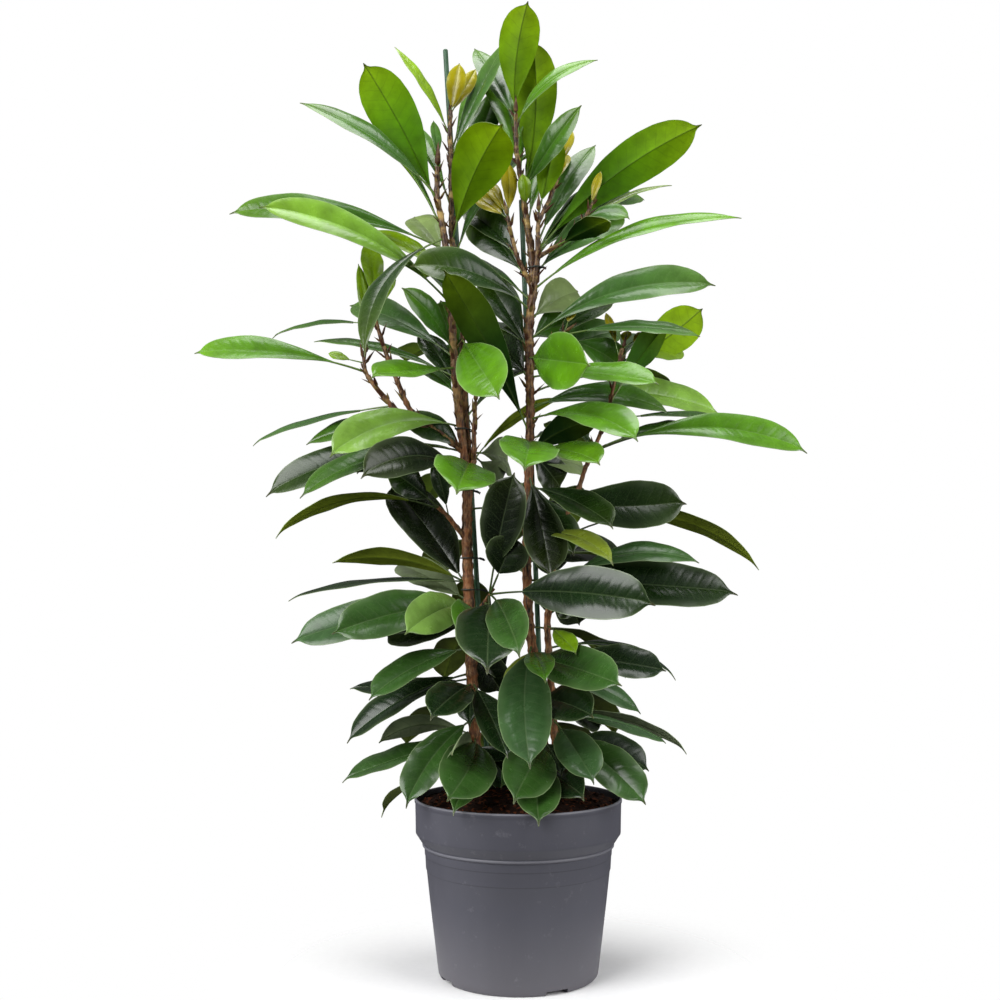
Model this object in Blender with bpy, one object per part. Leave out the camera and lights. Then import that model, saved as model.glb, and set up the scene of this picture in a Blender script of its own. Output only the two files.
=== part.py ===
"""Potted african fig (Ficus cyathistipula): leafy stems tied to two stakes in a nursery pot.

Metres, +Z up. The origin is the centre of the pot's foot, on the floor, and the plant's front faces -Y.
Lists of sizes and places are in millimetres, and scaled once, where a mesh is made.

Stems and front leaves are listed by where they stand in the front view: x and z in the upright plane
through the pot's axis, and how far they come toward the eye. seen() slides such a point along the line
of sight to its real depth. Leaves on the back follow a rule.
"""
import math
from collections import namedtuple

import bpy
import bmesh
from mathutils import Vector
from mathutils.bvhtree import BVHTree

MM = 0.001
EYE = Vector((-21, -1500, 440))  # where the front view is seen from
GAP = 0.3  # between two pieces that touch
SEAM = 0.00005  # metres, within which the points of a turned form's seam and poles become one
WELD = 0.00001  # metres, the same for a tube

# Pot
POT_HEIGHT = 200
RIM_RADIUS = 120
COLLAR_FOOT = 160  # height of the collar's lower edge
STEP_HEIGHT = 119  # a faint step round the wall
FOOT_RADIUS = 88
POT_SIDES = 32
NOTCH_WIDTH = 27
NOTCH_HEIGHT = 5
NOTCH_REACH = 30  # through the foot ring
NOTCH_ANGLE = -63  # degrees from +X, of the notch that shows in front
DRAIN_RADIUS = 5
DRAIN_CIRCLE = 62
DRAIN_LEVEL = 6.2  # height of the middle of a drain hole's cutter
DRAIN_REACH = 20  # of that cutter, up and down
DRAIN_SIDES = 10
DRAIN_TURN = 20  # degrees from a notch to the next hole

# Soil
SOIL_EDGE = 193
SOIL_CROWN = 14  # how far the middle stands over the edge
SOIL_MOUND = ((70, 0.9), (36, 0.6))  # in from the edge, and how much of that height the soil has there
SOIL_SHOULDER = 12  # in from the edge, where the soil starts to rise
SOIL_LUMP = 1.5

# Wood
STAKE_RADIUS = 3.0
STAKE_FOOT = 45
STEM_FOOT = 110
TIE_WIRE = 1.0
TIE_SLACK = 0.6
TIE_POINTS = 12

# Leaves
BLADE_THICK = 0.9
STALK_THICK = 2.8
STALK_WIDTH = 3.0
STALK_SHARE = 0.12  # of the leaf's length
STALK_MOST = 0.45
STALK_TAPER = 0.7  # of its thickness, where the blade begins
LEAST_HALF = 0.7  # half the width of a blade's tip
FOLD = 0.22  # rise of the blade's edges over its midrib, for each mm out
BOW = 0.05  # rise of the blade's middle over its chord, as a share of its length
HIGH_OUTLINE = ((0.0, 0.07), (0.28, 0.60), (0.61, 1.0), (0.89, 0.72), (1.0, 0.03))
LOW_OUTLINE = ((0.0, 0.10), (0.25, 0.78), (0.57, 1.0), (0.87, 0.68), (1.0, 0.03))
LOW_LEAF = 480  # leaves that grow lower have the fuller outline
SMALL_OUTLINE = ((0.0, 0.12), (0.45, 0.95), (0.85, 0.65), (1.0, 0.04))
SMALL_WIDTH = 41  # narrower leaves have the small outline and no fold
CLEARANCE = 0.8  # kept round a leaf
DEPTH_STEPS = tuple(side * step for step in range(0, 81, 8) for side in (1, -1))
ROOT_STEPS = (0, 8, -8, 16, -16, 24)

# Leaves on the back, by a rule. Each pair goes from a leaf at the lowest root to one at the highest.
BACK_ROOTS = (230, 900)
BACK_LENGTHS = (140, 230)
BACK_WIDTHS = (48, 54)
BACK_RISES = (-26, 48)  # degrees
GOLDEN = 0.618034
BACK_SPREAD = 75  # degrees to each side of straight back
BACK_STEPS = (0, 10, -10, 20, -20, 30, -30, 40, -40, 50, -50)
RISE_STEPS = (0, 8, -8, 16, -16, 24)
HIDDEN_SHARE = 0.8  # of a back leaf, by the leaves in front of it, as the eye sees it
LOW_HIDDEN_SHARE = 0.5
BUSHY = 420  # below this height the leaves stand close, and more of a back leaf may show
LOOK_FROM = 3  # toward the eye, so that a leaf doesn't hide itself

Blade = namedtuple("Blade", "root tip width top arch stalk")

# Each branch: radius at its root, radius at its tip, then points of x, z, toward
LEFT_WOOD = (
    (7.5, 6.0, ((-47, 200, 0), (-49, 240, 0), (-54, 340, 2), (-58, 440, 2), (-60, 500, 0), (-59, 585, 0))),
    (5.5, 3.2, ((-59, 570, 0), (-66, 620, 6), (-71, 660, 8), (-76, 720, 8), (-80, 800, 8), (-86, 850, 8),
                (-91, 880, 8), (-97, 910, 8), (-96, 945, 8))),
    (5.5, 2.4, ((-58, 575, 0), (-63, 640, -6), (-66, 700, -8), (-67, 755, -8), (-73, 800, -6),
                (-79, 860, -6), (-80, 955, -4), (-82, 985, -2), (-80, 1015, 0))),
    (3.5, 2.4, ((-59, 560, 0), (-51, 590, 4), (-52, 620, 6), (-50, 660, 6))),
    (3.5, 2.2, ((-60, 497, 0), (-72, 512, 6), (-85, 529, 10), (-95, 536, 12))),
    (4.0, 2.0, ((-62, 600, 2), (-78, 612, 10), (-128, 650, 16), (-155, 715, 16), (-165, 745, 14),
                (-170, 762, 14))),
    (3.5, 2.0, ((-92, 621, 12), (-145, 651, 18), (-178, 690, 16), (-184, 705, 12), (-180, 730, 8))),
    (3.5, 2.4, ((-57, 400, 2), (-44, 418, 14), (-28, 440, 24))),
)
RIGHT_WOOD = (
    (6.0, 5.0, ((34, 200, 0), (32, 240, 0), (22, 330, 0), (13, 400, 0), (10, 470, 0), (13, 580, 0),
                (15, 640, 0), (14, 700, 0), (14, 760, 0), (19, 797, 0))),
    (5.0, 2.4, ((19, 790, 0), (17, 835, -2), (11, 880, -4), (4, 930, -4), (-2, 970, -2), (-2, 1010, 0))),
    (4.0, 2.4, ((17, 785, 0), (24, 840, 6), (25, 890, 8))),
    (3.0, 2.2, ((17, 800, 0), (-1, 835, 4), (-7, 860, 4), (-12, 885, 4))),
    (3.0, 1.8, ((24, 835, 6), (46, 848, 4), (68, 862, 2), (84, 888, 0), (90, 902, 0))),
    (2.8, 1.8, ((25, 878, 8), (38, 905, 4), (49, 932, 0), (51, 950, 0))),
    (3.0, 1.8, ((14, 708, 0), (36, 728, 8), (57, 745, 12))),
)
LOW_WOOD = (
    (5.5, 4.0, ((46, 200, 10), (45, 240, 10), (40, 300, 12), (34, 400, 16), (45, 500, 20), (72, 557, 22),
                (80, 585, 22))),
    (4.0, 2.2, ((78, 577, 22), (92, 610, 20), (105, 640, 18), (118, 700, 16), (125, 725, 16))),
)

# Each leaf: root x, root z, tip x, tip z, toward, width, show, arch. Show is the share of its width that
# the front view sees, with a minus for the underside. Arch is how far its middle stands over its chord.
LEFT_LEAVES = (
    # Crown
    (-97, 890, -186, 1073, 20, 58, -1.0, 5),
    (-97, 905, -262, 1024, 30, 40, 0.5, 12),
    (-84, 985, -148, 1093, 0, 26, 0.45, 3),
    (-80, 1010, -70, 1073, 6, 24, 1.0, 0),
    (-81, 1010, -50, 1066, -14, 18, 1.0, 0),
    (-96, 942, -101, 1002, 0, 16, 0.8, 0),
    (-80, 955, -11, 1104, -10, 34, 0.62, 0),
    (-79, 855, -18, 998, 70, 66, -1.0, 9),
    (-80, 905, -25, 1043, -110, 38, 0.9, -8),
    # Upper left
    (-92, 840, -345, 890, 20, 42, 0.7, 14),
    (-82, 775, -310, 897, 70, 42, 0.8, 20),
    (-90, 855, -182, 722, 110, 34, 0.6, 26),
    (-76, 712, -200, 777, -80, 45, 0.8, 6),
    (-160, 752, -292, 740, -60, 24, 0.3, 8),
    (-180, 690, -384, 720, 40, 44, 0.6, 7),
    (-76, 688, -242, 734, -40, 30, 0.35, 9),
    (-183, 704, -225, 720, 6, 14, 0.7, -2),
    (-76, 715, -138, 798, 80, 34, 0.8, 6),
    (-68, 700, -92, 783, -30, 42, 0.9, 0),
    (-72, 668, -118, 745, -30, 34, 0.9, 4),
    (-64, 738, -22, 667, 165, 58, 1.0, 0),
    (-76, 700, -174, 694, 120, 44, 0.5, -4),
    (-72, 665, -112, 700, -60, 24, 0.8, 4),
    # Young shoots on the left
    (-170, 760, -178, 856, 0, 30, 0.9, 0),
    (-168, 755, -148, 815, -20, 18, 0.9, 0),
    (-180, 728, -190, 827, 16, 18, 0.8, 0),
    # Middle left
    (-148, 652, -313, 612, -30, 30, 0.25, 5),
    (-92, 622, -250, 611, 0, 40, 0.6, 12),
    (-66, 622, -222, 598, 80, 50, 0.75, 20),
    (-60, 590, -297, 551, 4, 46, 0.8, 20),
    (-60, 588, -257, 548, 60, 42, 0.55, 24),
    (-60, 575, -228, 580, -50, 44, 0.8, 12),
    (-60, 572, -185, 574, 120, 48, 0.85, 28),
    (-92, 535, -285, 504, 20, 32, -0.4, 24),
    (-94, 535, -156, 584, 60, 40, 0.9, 0),
    (-82, 525, -100, 592, 40, 24, 0.9, 0),
    (-58, 440, -150, 564, -60, 62, 0.9, 0),
    (-59, 588, -72, 556, 175, 70, 1.0, 0),
    (-51, 592, 50, 665, -90, 26, -0.5, 10),
    (-51, 600, -12, 590, -140, 50, 0.9, 6),
    # Lower left
    (-58, 445, -218, 471, 10, 38, -0.55, 13),
    (-58, 440, -269, 429, -20, 30, 0.2, 8),
    (-57, 425, -142, 470, -90, 46, 0.8, 0),
    (-57, 425, -218, 388, 60, 56, 0.9, 3),
    (-57, 418, -265, 379, 10, 52, 0.85, 4),
    (-57, 420, -132, 388, 140, 48, 0.95, 14),
    (-44, 418, -71, 388, 150, 52, 1.0, 0),
    (-28, 437, -36, 347, 160, 70, 1.0, 0),
    (-28, 440, 161, 423, 130, 60, 0.95, 5),
    (-36, 430, 2, 366, 110, 36, 0.9, 0),
    (-56, 398, -155, 386, -60, 46, 0.8, -4),
    (-28, 438, -4, 577, 60, 52, 0.95, 0),
    (-54, 372, -174, 312, 60, 44, 0.65, 6),
    (-54, 336, -196, 326, -40, 34, 0.6, -8),
    (-54, 342, -199, 264, 20, 44, 0.6, 8),
    (-54, 330, -102, 292, 110, 46, 0.9, 0),
    (-50, 268, -162, 262, -30, 36, -0.6, 16),
    (-50, 270, -204, 220, 10, 42, 0.5, -1),
    (-51, 290, -130, 191, 80, 46, 0.9, 8),
    (-50, 268, -82, 196, 145, 62, 1.0, -22),
    (-48, 240, -75, 184, 120, 32, 1.0, 0),
    (-52, 332, -12, 245, 90, 42, 0.9, 0),
)
RIGHT_LEAVES = (
    # Crown
    (-2, 1005, 13, 1150, 6, 48, -1.0, 7),
    (6, 918, 18, 1104, -8, 52, -1.0, -10),
    (-2, 1000, -52, 1091, -80, 32, 0.9, 0),
    (-2, 995, 97, 1077, -60, 24, 0.6, 14),
    (6, 915, 77, 1021, 60, 34, 0.8, 0),
    (24, 885, 48, 988, 30, 34, -1.0, 0),
    (25, 840, 222, 997, 20, 56, -1.0, 16),
    (50, 942, 54, 990, 2, 14, 0.9, 0),
    (51, 945, 66, 990, -6, 17, 0.9, 0),
    (46, 925, 61, 960, 8, 16, 0.9, 0),
    (88, 898, 100, 940, 0, 12, 0.9, 0),
    # Upper middle
    (0, 832, -55, 897, -80, 48, 0.9, 0),
    (-11, 880, -52, 912, -20, 24, 0.9, 0),
    (-12, 880, -12, 952, -12, 22, 0.9, 0),
    (-12, 882, -40, 932, -18, 18, 0.9, 0),
    (8, 892, 6, 937, 16, 18, 0.9, 0),
    (12, 770, -128, 825, 50, 50, 0.8, 16),
    (14, 720, -40, 812, -60, 45, 0.9, 0),
    (12, 622, -88, 820, 30, 50, -0.9, 0),
    # Upper right
    (24, 835, 100, 905, -90, 40, 0.8, 4),
    (20, 795, 268, 883, 10, 36, 0.45, 22),
    (16, 735, 236, 802, 18, 48, 0.8, 20),
    (36, 728, 115, 780, -60, 30, 0.8, 6),
    (50, 740, 217, 740, 30, 34, 0.4, 8),
    (85, 890, 152, 906, -60, 26, 0.8, 6),
    (80, 882, 134, 884, 30, 24, 0.8, 6),
    (46, 848, 112, 880, 70, 34, -0.8, 0),
    (70, 864, 185, 923, -50, 26, 0.3, 10),
    (57, 742, 66, 772, 4, 14, 0.9, 0),
    (14, 714, 86, 706, 150, 64, 1.0, 0),
    # Middle
    (14, 690, 167, 683, 80, 44, 0.5, 6),
    (14, 652, 180, 648, 16, 40, 0.7, 17),
    (14, 640, 142, 617, 130, 50, 0.6, 20),
    (14, 655, 240, 648, -40, 50, 0.7, 16),
    (14, 612, 8, 584, 180, 66, 1.0, 0),
    (14, 600, 97, 588, 140, 46, 0.45, 12),
    (14, 600, 98, 640, 20, 40, -0.9, 6),
    (12, 560, 112, 514, 110, 46, 0.7, 5),
    (12, 545, 199, 543, 26, 58, 0.95, -10),
    (11, 500, 112, 472, 90, 34, 0.5, 20),
    (10, 450, 258, 436, -10, 58, 0.9, -2),
    (10, 470, 125, 482, -90, 44, 0.8, 6),
    (12, 575, 38, 455, -100, 54, 0.9, 6),
    # Lower right, near the soil
    (16, 375, 14, 234, 135, 60, 1.0, 11),
    (17, 365, 32, 335, 110, 34, 0.95, 0),
    (17, 368, -18, 330, 60, 14, 0.9, 0),
    (30, 262, -5, 196, 150, 60, 1.0, 0),
    (33, 235, 24, 171, 124, 52, 1.0, 20),
    (33, 228, 76, 200, 84, 40, 0.95, 0),
    (26, 312, 88, 292, 135, 50, 0.9, 4),
    (18, 360, 121, 328, 130, 54, 0.9, -3),
    (18, 350, 143, 297, -50, 30, 0.8, 4),
)
LOW_LEAVES = (
    (118, 700, 220, 773, -60, 52, -1.0, -6),
    (120, 708, 105, 768, -8, 12, 0.9, 0),
    (124, 718, 131, 746, 0, 14, 0.9, 0),
    (125, 722, 152, 742, 6, 14, 0.9, 0),
    (102, 635, 298, 623, -40, 30, 0.3, 12),
    (86, 598, 342, 603, 22, 42, 0.8, 22),
    (36, 440, 213, 472, 30, 40, 0.6, 20),
    (45, 495, 283, 466, -20, 34, -0.5, 40),
    (36, 362, 173, 345, 40, 46, 0.8, 0),
    (37, 372, 184, 338, -30, 34, 0.3, 18),
    (34, 398, 68, 366, 80, 24, 0.9, 0),
    (40, 300, 196, 253, 10, 30, -0.3, 12),
    (41, 292, 172, 262, -70, 36, 0.6, 8),
    (41, 290, 88, 218, 110, 48, 0.95, 0),
    (43, 275, 148, 192, 90, 50, 0.9, 6),
    (43, 270, 152, 231, 20, 46, 0.85, 4),
)

# Each stake: top and foot, as x, z and toward. Its foot is then drawn out down to STAKE_FOOT.
LEFT_STAKE = ((-87, 1090, -18), (-34, 215, -16))
RIGHT_STAKE = ((4.5, 905, -20), (30, 215, -18))

# Each tie: height, and the stems that it holds to its stake
LEFT_TIES = ((439, (0,)), (476, (0,)), (556, (0,)), (628, (1, 2)))
RIGHT_TIES = ((822, (1, 2)),)

# Leaves on the back: branch, lowest and highest root, and how many
LEFT_BACK = ((0, 235, 570, 10), (1, 600, 860, 4), (2, 640, 960, 6))
RIGHT_BACK = ((0, 230, 780, 11), (1, 830, 960, 4))
LOW_BACK = ((0, 245, 560, 5), (1, 600, 700, 2))


def clear_scene():
    for item in list(bpy.data.objects):
        bpy.data.objects.remove(item, do_unlink=True)


def material(name, colour, roughness):
    """A matte or glossy finish, from linear red, green and blue."""
    finish = bpy.data.materials.new(name)
    finish.use_nodes = True
    shader = finish.node_tree.nodes["Principled BSDF"]
    shader.inputs["Base Color"].default_value = (*colour, 1)
    shader.inputs["Roughness"].default_value = roughness
    finish.diffuse_color = (*colour, 1)
    return finish


def add(name, mesh, finish=None):
    item = bpy.data.objects.new(name, mesh)
    bpy.context.scene.collection.objects.link(item)
    if finish:
        mesh.materials.append(finish)
    return item


def as_cutter(item):
    item.hide_render = True
    item.display_type = "WIRE"
    return item


def boolean(item, operation, other):
    """Joins or cuts with one object, or with all that a collection holds."""
    change = item.modifiers.new(operation.lower(), "BOOLEAN")
    change.operation = operation
    change.solver = "EXACT"
    if isinstance(other, bpy.types.Collection):
        change.operand_type = "COLLECTION"
        change.collection = other
    else:
        change.object = other


def apply_all(item):
    """Puts what the modifiers make in place of the object's mesh."""
    graph = bpy.context.evaluated_depsgraph_get()
    mesh = bpy.data.meshes.new_from_object(item.evaluated_get(graph))
    item.modifiers.clear()
    item.data = mesh


def seen(x, z, toward):
    """The point that comes this far toward the eye, and still shows at x, z of the upright plane."""
    share = 1 + toward / EYE.y
    return EYE + (Vector((x, 0, z)) - EYE) * share


def turned(name, profile, sides):
    """A solid of revolution, from an outline of radius and height that starts and ends on the axis."""
    mesh = bpy.data.meshes.new(name)
    points = [(radius * MM, 0, height * MM) for radius, height in profile]
    edges = [(index, index + 1) for index in range(len(points) - 1)]
    form = bmesh.new()
    mesh.from_pydata(points, edges, [])
    form.from_mesh(mesh)
    bmesh.ops.spin(form, geom=form.verts[:] + form.edges[:], axis=(0, 0, 1), cent=(0, 0, 0),
                   angle=math.tau, steps=sides)
    bmesh.ops.remove_doubles(form, verts=form.verts, dist=SEAM)
    bmesh.ops.recalc_face_normals(form, faces=form.faces)
    form.to_mesh(mesh)
    form.free()
    return mesh


def smooth(mesh, degrees):
    mesh.shade_smooth()
    mesh.set_sharp_from_angle(angle=math.radians(degrees))


def tube_mesh(name, points, radii, resolution=1, closed=False):
    """A round bar along points, with a radius at each."""
    curve = bpy.data.curves.new(name, "CURVE")
    curve.dimensions = "3D"
    curve.bevel_depth = MM
    curve.bevel_resolution = resolution
    curve.use_fill_caps = not closed
    line = curve.splines.new("POLY")
    line.points.add(len(points) - 1)
    line.use_cyclic_u = closed
    for spot, point, radius in zip(line.points, points, radii):
        spot.co = (*(point * MM), 1)
        spot.radius = radius
    holder = bpy.data.objects.new(name, curve)
    bpy.context.scene.collection.objects.link(holder)
    graph = bpy.context.evaluated_depsgraph_get()
    mesh = bpy.data.meshes.new_from_object(holder.evaluated_get(graph))
    bpy.data.objects.remove(holder)
    bpy.data.curves.remove(curve)
    return welded(mesh)


def welded(mesh):
    form = bmesh.new()
    form.from_mesh(mesh)
    bmesh.ops.remove_doubles(form, verts=form.verts, dist=WELD)
    bmesh.ops.recalc_face_normals(form, faces=form.faces)
    form.to_mesh(mesh)
    form.free()
    return mesh


def inner_wall():
    """The pot's inside, as radius and height from the middle of its floor up to the rim."""
    return [
        (0, 2.8), (44, 2.8), (46, 7.8), (FOOT_RADIUS - 1, 7.8), (90.6, 14),
        (103.4, STEP_HEIGHT), (106.4, 144.5), (107.4, 148.5),
        (RIM_RADIUS - 3.8, COLLAR_FOOT + 1), (RIM_RADIUS - 3.0, POT_HEIGHT - 1),
    ]


def outer_wall():
    """The pot's outside, from the rim down to the middle of its foot."""
    return [
        (RIM_RADIUS - 2.4, POT_HEIGHT), (RIM_RADIUS - 0.5, POT_HEIGHT - 0.6), (RIM_RADIUS, POT_HEIGHT - 2.5),
        (RIM_RADIUS - 1.5, COLLAR_FOOT), (109.6, 148), (110.0, 146.4), (108.6, 144.8),
        (106.2, STEP_HEIGHT + 2), (105.4, STEP_HEIGHT), (92.6, 12), (91.2, 3.5), (FOOT_RADIUS, 0),
        (FOOT_RADIUS - 9, 0), (FOOT_RADIUS - 11, NOTCH_HEIGHT), (47, NOTCH_HEIGHT), (45, 0), (0, 0),
    ]


def make_pot():
    pot = add("pot", turned("pot", inner_wall() + outer_wall(), POT_SIDES),
              material("nursery pot plastic", (0.105, 0.105, 0.125), 0.42))
    cutters = bpy.data.collections.new("pot cutters")
    for quarter in range(4):
        angle = math.radians(NOTCH_ANGLE + 90 * quarter)
        along = Vector((math.cos(angle), math.sin(angle), 0))
        bpy.ops.mesh.primitive_cube_add(size=1, location=along * (FOOT_RADIUS * MM), rotation=(0, 0, angle))
        notch = as_cutter(bpy.context.object)
        notch.scale = (NOTCH_REACH * MM, NOTCH_WIDTH * MM, 2 * NOTCH_HEIGHT * MM)
        move_to(notch, cutters)
        hole_angle = angle + math.radians(DRAIN_TURN)
        out = Vector((math.cos(hole_angle), math.sin(hole_angle), 0))
        place = (out * DRAIN_CIRCLE + Vector((0, 0, DRAIN_LEVEL))) * MM
        bpy.ops.mesh.primitive_cylinder_add(vertices=DRAIN_SIDES, radius=DRAIN_RADIUS * MM,
                                            depth=DRAIN_REACH * MM, location=place)
        move_to(as_cutter(bpy.context.object), cutters)
    boolean(pot, "DIFFERENCE", cutters)
    apply_all(pot)
    remove_all(cutters)
    smooth(pot.data, 30)
    return pot


def move_to(item, collection):
    for holder in list(item.users_collection):
        holder.objects.unlink(item)
    collection.objects.link(item)


def remove_all(collection):
    for item in list(collection.objects):
        bpy.data.objects.remove(item, do_unlink=True)
    bpy.data.collections.remove(collection)


def soil_profile():
    """The soil fills the pot's inside, less a gap, and its top is a low mound."""
    sides = [(max(radius - GAP, 0), height + GAP) for radius, height in inner_wall()[:-1]]
    edge = RIM_RADIUS - 3.8 - GAP
    mound = [(edge - inward, SOIL_EDGE + share * SOIL_CROWN) for inward, share in SOIL_MOUND]
    rim = [(edge - SOIL_SHOULDER, SOIL_EDGE + 1), (edge, SOIL_EDGE - 1)]
    return [(0, SOIL_EDGE + SOIL_CROWN)] + mound + rim + sides[::-1]


def lump(x, y):
    """Small rises and dips of the soil's surface, in mm."""
    wide = math.sin(0.11 * x + 0.5) * math.cos(0.13 * y)
    fine = math.sin(0.31 * x - 0.27 * y)
    return SOIL_LUMP * (0.6 * wide + 0.4 * fine)


def make_soil(holes):
    soil = add("soil", turned("soil", soil_profile(), POT_SIDES),
               material("potting soil", (0.045, 0.014, 0.006), 0.95))
    for vertex in soil.data.vertices:
        if vertex.co.z > (SOIL_EDGE - 0.5) * MM:
            vertex.co.z += lump(vertex.co.x / MM, vertex.co.y / MM) * MM
    cutters = bpy.data.collections.new("soil cutters")
    for mesh in holes:
        move_to(as_cutter(add("hole", mesh)), cutters)
    boolean(soil, "DIFFERENCE", cutters)
    apply_all(soil)
    remove_all(cutters)
    return soil


def branch_path(branch):
    """A branch's points in space, and the radius at each."""
    first, last, places = branch
    points = [seen(*place) for place in places]
    radii = [first + (last - first) * index / (len(points) - 1) for index in range(len(points))]
    return points, radii


def with_foot(points, radii):
    """A trunk goes straight down into the soil from its first point."""
    foot = Vector((points[0].x, points[0].y, STEM_FOOT))
    return [foot] + points, [radii[0]] + radii


def hole_mesh(points, radii):
    """What a stem or stake needs cut from the soil."""
    low = points[0] - (points[1] - points[0]).normalized() * 2 * GAP
    return tube_mesh("hole", [low] + points[1:], [radius + 2 * GAP for radius in radii])


def stake_points(stake):
    top, foot = (seen(*place) for place in stake)
    share = (top.z - STAKE_FOOT) / (top.z - foot.z)
    return [top + (foot - top) * share, top]


def crossing(path, height):
    """Where a stem or stake passes a height, and its radius there."""
    points, radii = path
    for low, high, thin, thick in zip(points, points[1:], radii, radii[1:]):
        if low.z <= height <= high.z:
            share = (height - low.z) / (high.z - low.z)
            return low.lerp(high, share), thin + (thick - thin) * share
    raise ValueError(f"no stem at height {height}")


def tie_points(discs, height):
    """A loop round several bars, of straight runs that each pass outside every bar."""
    turn = math.tau / TIE_POINTS
    reach = []
    for step in range(TIE_POINTS):
        out = Vector((math.cos(turn * step), math.sin(turn * step), 0))
        reach.append(max(centre.dot(out) + radius for centre, radius in discs) + TIE_SLACK + TIE_WIRE)
    loop = []
    for step in range(TIE_POINTS):
        near, far = turn * (step - 1), turn * step
        x = (reach[step - 1] * math.sin(far) - reach[step] * math.sin(near)) / math.sin(turn)
        y = (reach[step] * math.cos(near) - reach[step - 1] * math.cos(far)) / math.sin(turn)
        loop.append(Vector((x, y, height)))
    return loop


def top_side(chord, middle, show):
    """The way that a leaf's upper face looks, so that the eye sees this share of its width."""
    eyeward = EYE - middle
    square = (eyeward - chord * eyeward.dot(chord)).normalized()
    across = chord.cross(square)
    lean = math.sqrt(1 - show * show)
    return max((square * show + across * lean, square * show - across * lean), key=lambda way: way.z)


def nearest_on(paths, spot):
    """The point of the wood's centre lines that lies nearest to a spot, and its distance."""
    best = None
    for points, _ in paths:
        for low, high in zip(points, points[1:]):
            line = high - low
            share = min(max((spot - low).dot(line) / line.length_squared, 0), 1)
            place = low + line * share
            if best is None or (place - spot).length < best[1]:
                best = (place, (place - spot).length)
    return best


def listed_blade(leaf, paths, deeper, higher):
    """A leaf from the front view's list, with its tip moved along the line of sight."""
    root_x, root_z, tip_x, tip_z, toward, width, show, arch = leaf
    root, off = nearest_on(paths, seen(root_x, root_z + higher, 0))
    tip = seen(tip_x, tip_z, toward + deeper)
    chord = (tip - root).normalized()
    length = (tip - root).length
    top = top_side(chord, (root + tip) / 2, show)
    aside = Vector((-chord.z, 0, chord.x))
    up = aside if aside.z > 0 else -aside
    bend = up * arch + top * (BOW * length * abs(show))
    stalk = min(STALK_SHARE * length + off, STALK_MOST * length)
    return Blade(root, tip, width, top, bend, stalk / length)


def between(pair, share):
    return pair[0] + (pair[1] - pair[0]) * share


def grown(height):
    """Length, width and rise in degrees of a leaf that the rule puts at a height."""
    lowest, highest = BACK_ROOTS
    share = min(max((height - lowest) / (highest - lowest), 0), 1)
    return between(BACK_LENGTHS, share), between(BACK_WIDTHS, share), between(BACK_RISES, share * share)


def back_blade(root, number, turn, tilt):
    """A leaf on the back: each goes a golden share of the spread further round than the last."""
    length, width, rise = grown(root.z)
    aside = math.radians(BACK_SPREAD * (2 * (number * GOLDEN % 1) - 1) + turn)
    lift = math.radians(rise + tilt)
    out = Vector((math.sin(aside) * math.cos(lift), math.cos(aside) * math.cos(lift), math.sin(lift)))
    level = out.cross(Vector((0, 0, 1))).normalized()
    top = level.cross(out)
    tip = root + out * length
    return Blade(root, tip, width, top, top * (2 * BOW * length), STALK_SHARE)


def outline_of(blade):
    if blade.width < SMALL_WIDTH:
        return SMALL_OUTLINE
    return LOW_OUTLINE if blade.root.z < LOW_LEAF else HIGH_OUTLINE


def blade_stations(blade):
    """Shares of the leaf's length, with half the width and half the thickness at each."""
    outline = outline_of(blade)
    stations = [(0, STALK_WIDTH / 2, STALK_THICK / 2)]
    for share, part in outline:
        half = max(part * blade.width / 2, LEAST_HALF)
        thick = STALK_THICK * STALK_TAPER if share == 0 else BLADE_THICK
        stations.append((blade.stalk + (1 - blade.stalk) * share, half, thick / 2))
    return stations


def blade_mesh(blade, swell=0.0, first=0):
    """Points and triangles of a leaf: a folded strip from its root, or a later station, to its tip."""
    chord = (blade.tip - blade.root).normalized()
    side = chord.cross(blade.top)
    control = (blade.root + blade.tip) / 2 + blade.arch * 2
    points = []
    for share, half, thick in blade_stations(blade)[first:]:
        middle = blade.root * (1 - share) ** 2 + control * (2 * share * (1 - share)) + blade.tip * share ** 2
        along = ((control - blade.root) * (1 - share) + (blade.tip - control) * share).normalized()
        up = side.cross(along).normalized()
        across = along.cross(up)
        half += swell
        rise = FOLD * half if half > STALK_WIDTH / 2 else 0
        row = ((-half, rise), (0, 0), (half, rise)) if folded(blade) else ((-half, 0), (half, 0))
        for level in (thick + swell, -thick - swell):
            for out, lift in row:
                points.append(middle + across * out + up * (lift + level))
    return points, strip_faces(points, 3 if folded(blade) else 2)


def folded(blade):
    return blade.width >= SMALL_WIDTH


def strip_faces(points, wide):
    """Triangles round a strip of rings, each a row of points on top and one below, and its two ends."""
    size = 2 * wide
    ring = list(range(wide)) + list(range(size - 1, wide - 1, -1))
    faces = []
    for base in range(0, len(points) - size, size):
        for spot in range(size):
            near, far = base + ring[spot], base + ring[(spot + 1) % size]
            if spot < wide - 1:
                faces += [(near, far, far + size), (near, far + size, near + size)]
            else:
                faces += [(near, far, near + size), (far, far + size, near + size)]
    last = len(points) - size
    for left in range(wide - 1):
        for corners in ((left, left + wide, left + wide + 1), (left, left + wide + 1, left + 1)):
            faces.append(corners)
            faces.append(tuple(last + corner for corner in reversed(corners)))
    return faces


def tree_of(points, faces):
    return BVHTree.FromPolygons(points, faces)


def mesh_tree(mesh):
    mesh.calc_loop_triangles()
    points = [vertex.co / MM for vertex in mesh.vertices]
    return tree_of(points, [tuple(face.vertices) for face in mesh.loop_triangles])


def meets(tree, others):
    return any(tree.overlap(other) for other in others)


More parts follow.
